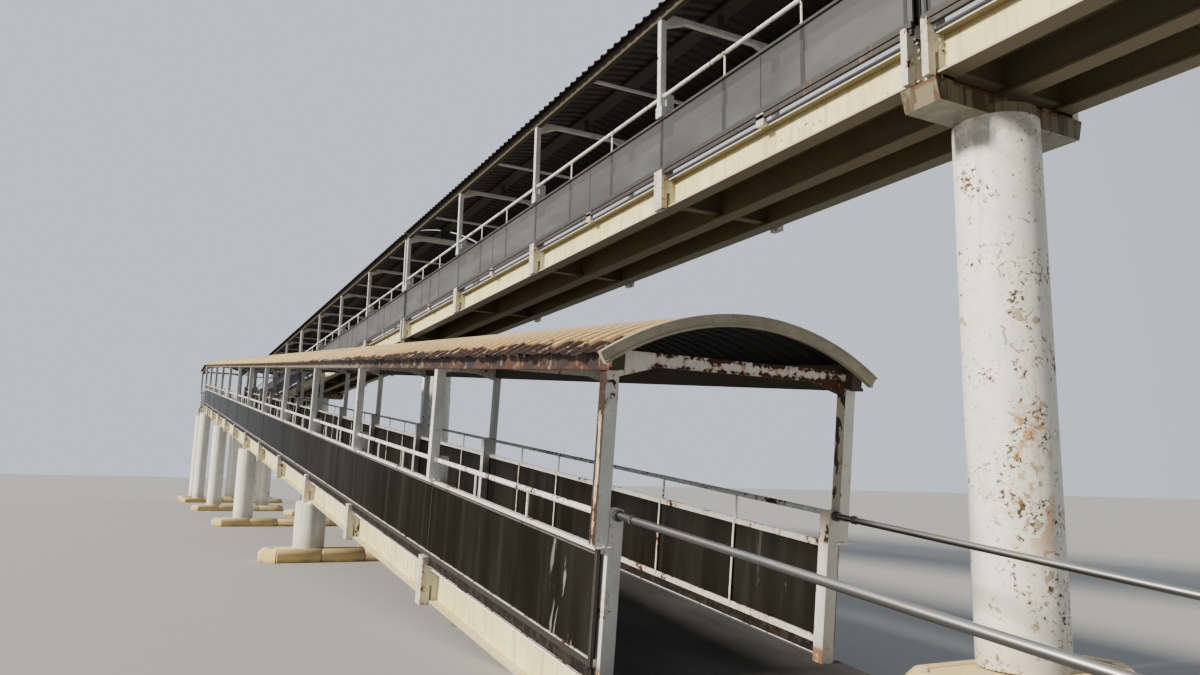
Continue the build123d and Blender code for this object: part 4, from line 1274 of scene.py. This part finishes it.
class BRIDGE_OT_fastenings(bpy.types.Operator):
    """Bolt the brackets and bearings, and put plates under the canopy's posts"""
    bl_idname = "boarding_bridge.fastenings"
    bl_label = "Fastenings"

    def execute(self, context):
        self.bracket_bolts()
        self.bearing_plates()
        self.post_plates()
        return {"FINISHED"}

    def bracket_bolts(self):
        """Bolts through the brackets' arms, on both faces."""
        heights, in_from_face = (-0.045, -0.08), 0.028
        bolts = Parts()
        head = hex_bolt(settings("fittings").bolt)
        for node, walk in (("bridge_brackets", LEVEL), ("ramp_brackets", RAMP)):
            for low, high in solids(node, walk):
                if walk is RAMP and high.x > RAMP_END:
                    continue
                side, inner, outer = sided(low, high)
                for x, out in ((low.x, -1), (high.x, 1)):
                    for up in heights:
                        bolts.stud(head, walk, (x, side * (inner + in_from_face), up), (out, 0, 0))
        bolts.piece("bracket_bolts", "bracket_grey")

    def bearing_plates(self):
        """Steel plates over and under each bearing pad."""
        plates = Parts()
        plate = 0.005
        for low, high in solids("bridge_bearings"):
            for up in ((low.z, low.z + plate), (high.z - plate, high.z)):
                plates.block(GROUND, (low.x - 0.005, high.x + 0.005), (low.y - 0.008, high.y + 0.008), up)
            for x in (low.x + 0.008, high.x - 0.008):
                for y in (low.y - 0.001, high.y + 0.001):
                    plates.stud(hex_bolt(0.008), GROUND, (x, y, low.z + plate))
        plates.piece("bearing_plates", "under_steel")

    def post_plates(self):
        """Foot plates of the ramp's canopy posts, on the panels' top rail."""
        fittings = settings("fittings")
        plates = Parts()
        for low, high in solids("ramp_canopy_posts", RAMP):
            if high.x > RAMP_END:
                continue
            side, inner, outer = sided(low, high)
            top = low.z + fittings.plate
            along, out = (low.x - 0.018, high.x + 0.018), (inner - 0.012, inner + 0.046)
            plates.block(RAMP, along, out, (low.z, top), side)
            for x in (low.x - 0.010, high.x + 0.010):
                plates.stud(hex_bolt(fittings.small_bolt), RAMP, (x, side * (inner + 0.020), top))
        plates.piece("post_foot_plates", "frame_white")


class BRIDGE_OT_stage(bpy.types.Operator):
    """Set the floor, the lights and the camera"""
    bl_idname = "boarding_bridge.stage"
    bl_label = "Stage"

    def execute(self, context):
        view = settings("view")
        add = context.scene.collection.objects.link
        grid = bmesh.new()
        bmesh.ops.create_grid(grid, x_segments=8, y_segments=8, size=view.floor_size)
        mesh = bpy.data.meshes.new("studio_floor")
        grid.to_mesh(mesh)
        grid.free()
        pale = Finish("studio_floor")
        pale.set(Base_Color=view.floor, Roughness=0.9)
        mesh.materials.append(pale.material)
        ground = bpy.data.objects.new("studio_floor", mesh)
        add(ground)

        context.scene.world = bpy.data.worlds.new("studio_sky")
        sky = Nodes(context.scene.world)
        directions = sky.node("ShaderNodeTexCoord", {}, {}).outputs["Generated"]
        ahead = Value(sky, sky.node("ShaderNodeSeparateXYZ", {}, {0: directions}).outputs[0])
        shade = sky.mix(ahead.rise(-0.7, 0.8), view.sky_behind, view.sky_ahead)
        light = sky.node("ShaderNodeBackground", {}, {"Color": shade, "Strength": 1.0})
        sky.node("ShaderNodeOutputWorld", {}, {"Surface": light.outputs[0]})

        key = bpy.data.lights.new("warm_key", "SUN")
        key.energy = view.sun_strength
        key.angle = view.sun_spread
        key.color = view.sun
        lamp = bpy.data.objects.new("warm_key", key)
        drift = 0.04
        lamp.rotation_euler = toward((drift, 1.0, tan(view.sun_height))).to_euler()
        add(lamp)

        camera = bpy.data.objects.new("camera", bpy.data.cameras.new("camera"))
        camera.data.sensor_width = 36
        camera.data.lens = view.lens
        camera.data.clip_start, camera.data.clip_end = 0.05, 400
        aim = (Matrix.Rotation(-(pi / 2 + view.turn), 4, "Z") @ Matrix.Rotation(pi / 2 + view.pitch, 4, "X")
               @ Matrix.Rotation(view.roll, 4, "Z"))
        camera.matrix_world = Matrix.Translation(view.place) @ aim
        add(camera)
        context.scene.camera = camera
        return {"FINISHED"}


OPERATORS = (BRIDGE_OT_finish, BRIDGE_OT_bridge_roof, BRIDGE_OT_ramp_roof, BRIDGE_OT_trims,
             BRIDGE_OT_hand_rails, BRIDGE_OT_entry_rails, BRIDGE_OT_panel_fittings, BRIDGE_OT_kerbs,
             BRIDGE_OT_coats, BRIDGE_OT_fastenings, BRIDGE_OT_stage)


class BRIDGE_PT_panel(bpy.types.Panel):
    """Sidebar panel with the settings and the operators"""
    bl_idname = "BRIDGE_PT_panel"
    bl_label = "Boarding Bridge"
    bl_space_type = "VIEW_3D"
    bl_region_type = "UI"
    bl_category = "Boarding Bridge"

    def draw(self, context):
        for group, kind in SETTINGS.items():
            box = self.layout.box()
            for name in kind.__annotations__:
                box.prop(settings(group), name)
        for operator in OPERATORS:
            self.layout.operator(operator.bl_idname)


CLASSES = (*SETTINGS.values(), *OPERATORS, BRIDGE_PT_panel)


def register():
    for cls in CLASSES:
        bpy.utils.register_class(cls)
    for group, kind in SETTINGS.items():
        setattr(bpy.types.Scene, "boarding_bridge_" + group, PointerProperty(type=kind))


def unregister():
    for group in SETTINGS:
        delattr(bpy.types.Scene, "boarding_bridge_" + group)
    for cls in reversed(CLASSES):
        bpy.utils.unregister_class(cls)


def main():
    """Makes every piece in order."""
    register()
    for operator in OPERATORS:
        group, name = operator.bl_idname.split(".")
        getattr(getattr(bpy.ops, group), name)()


if __name__ == "__main__":
    main()
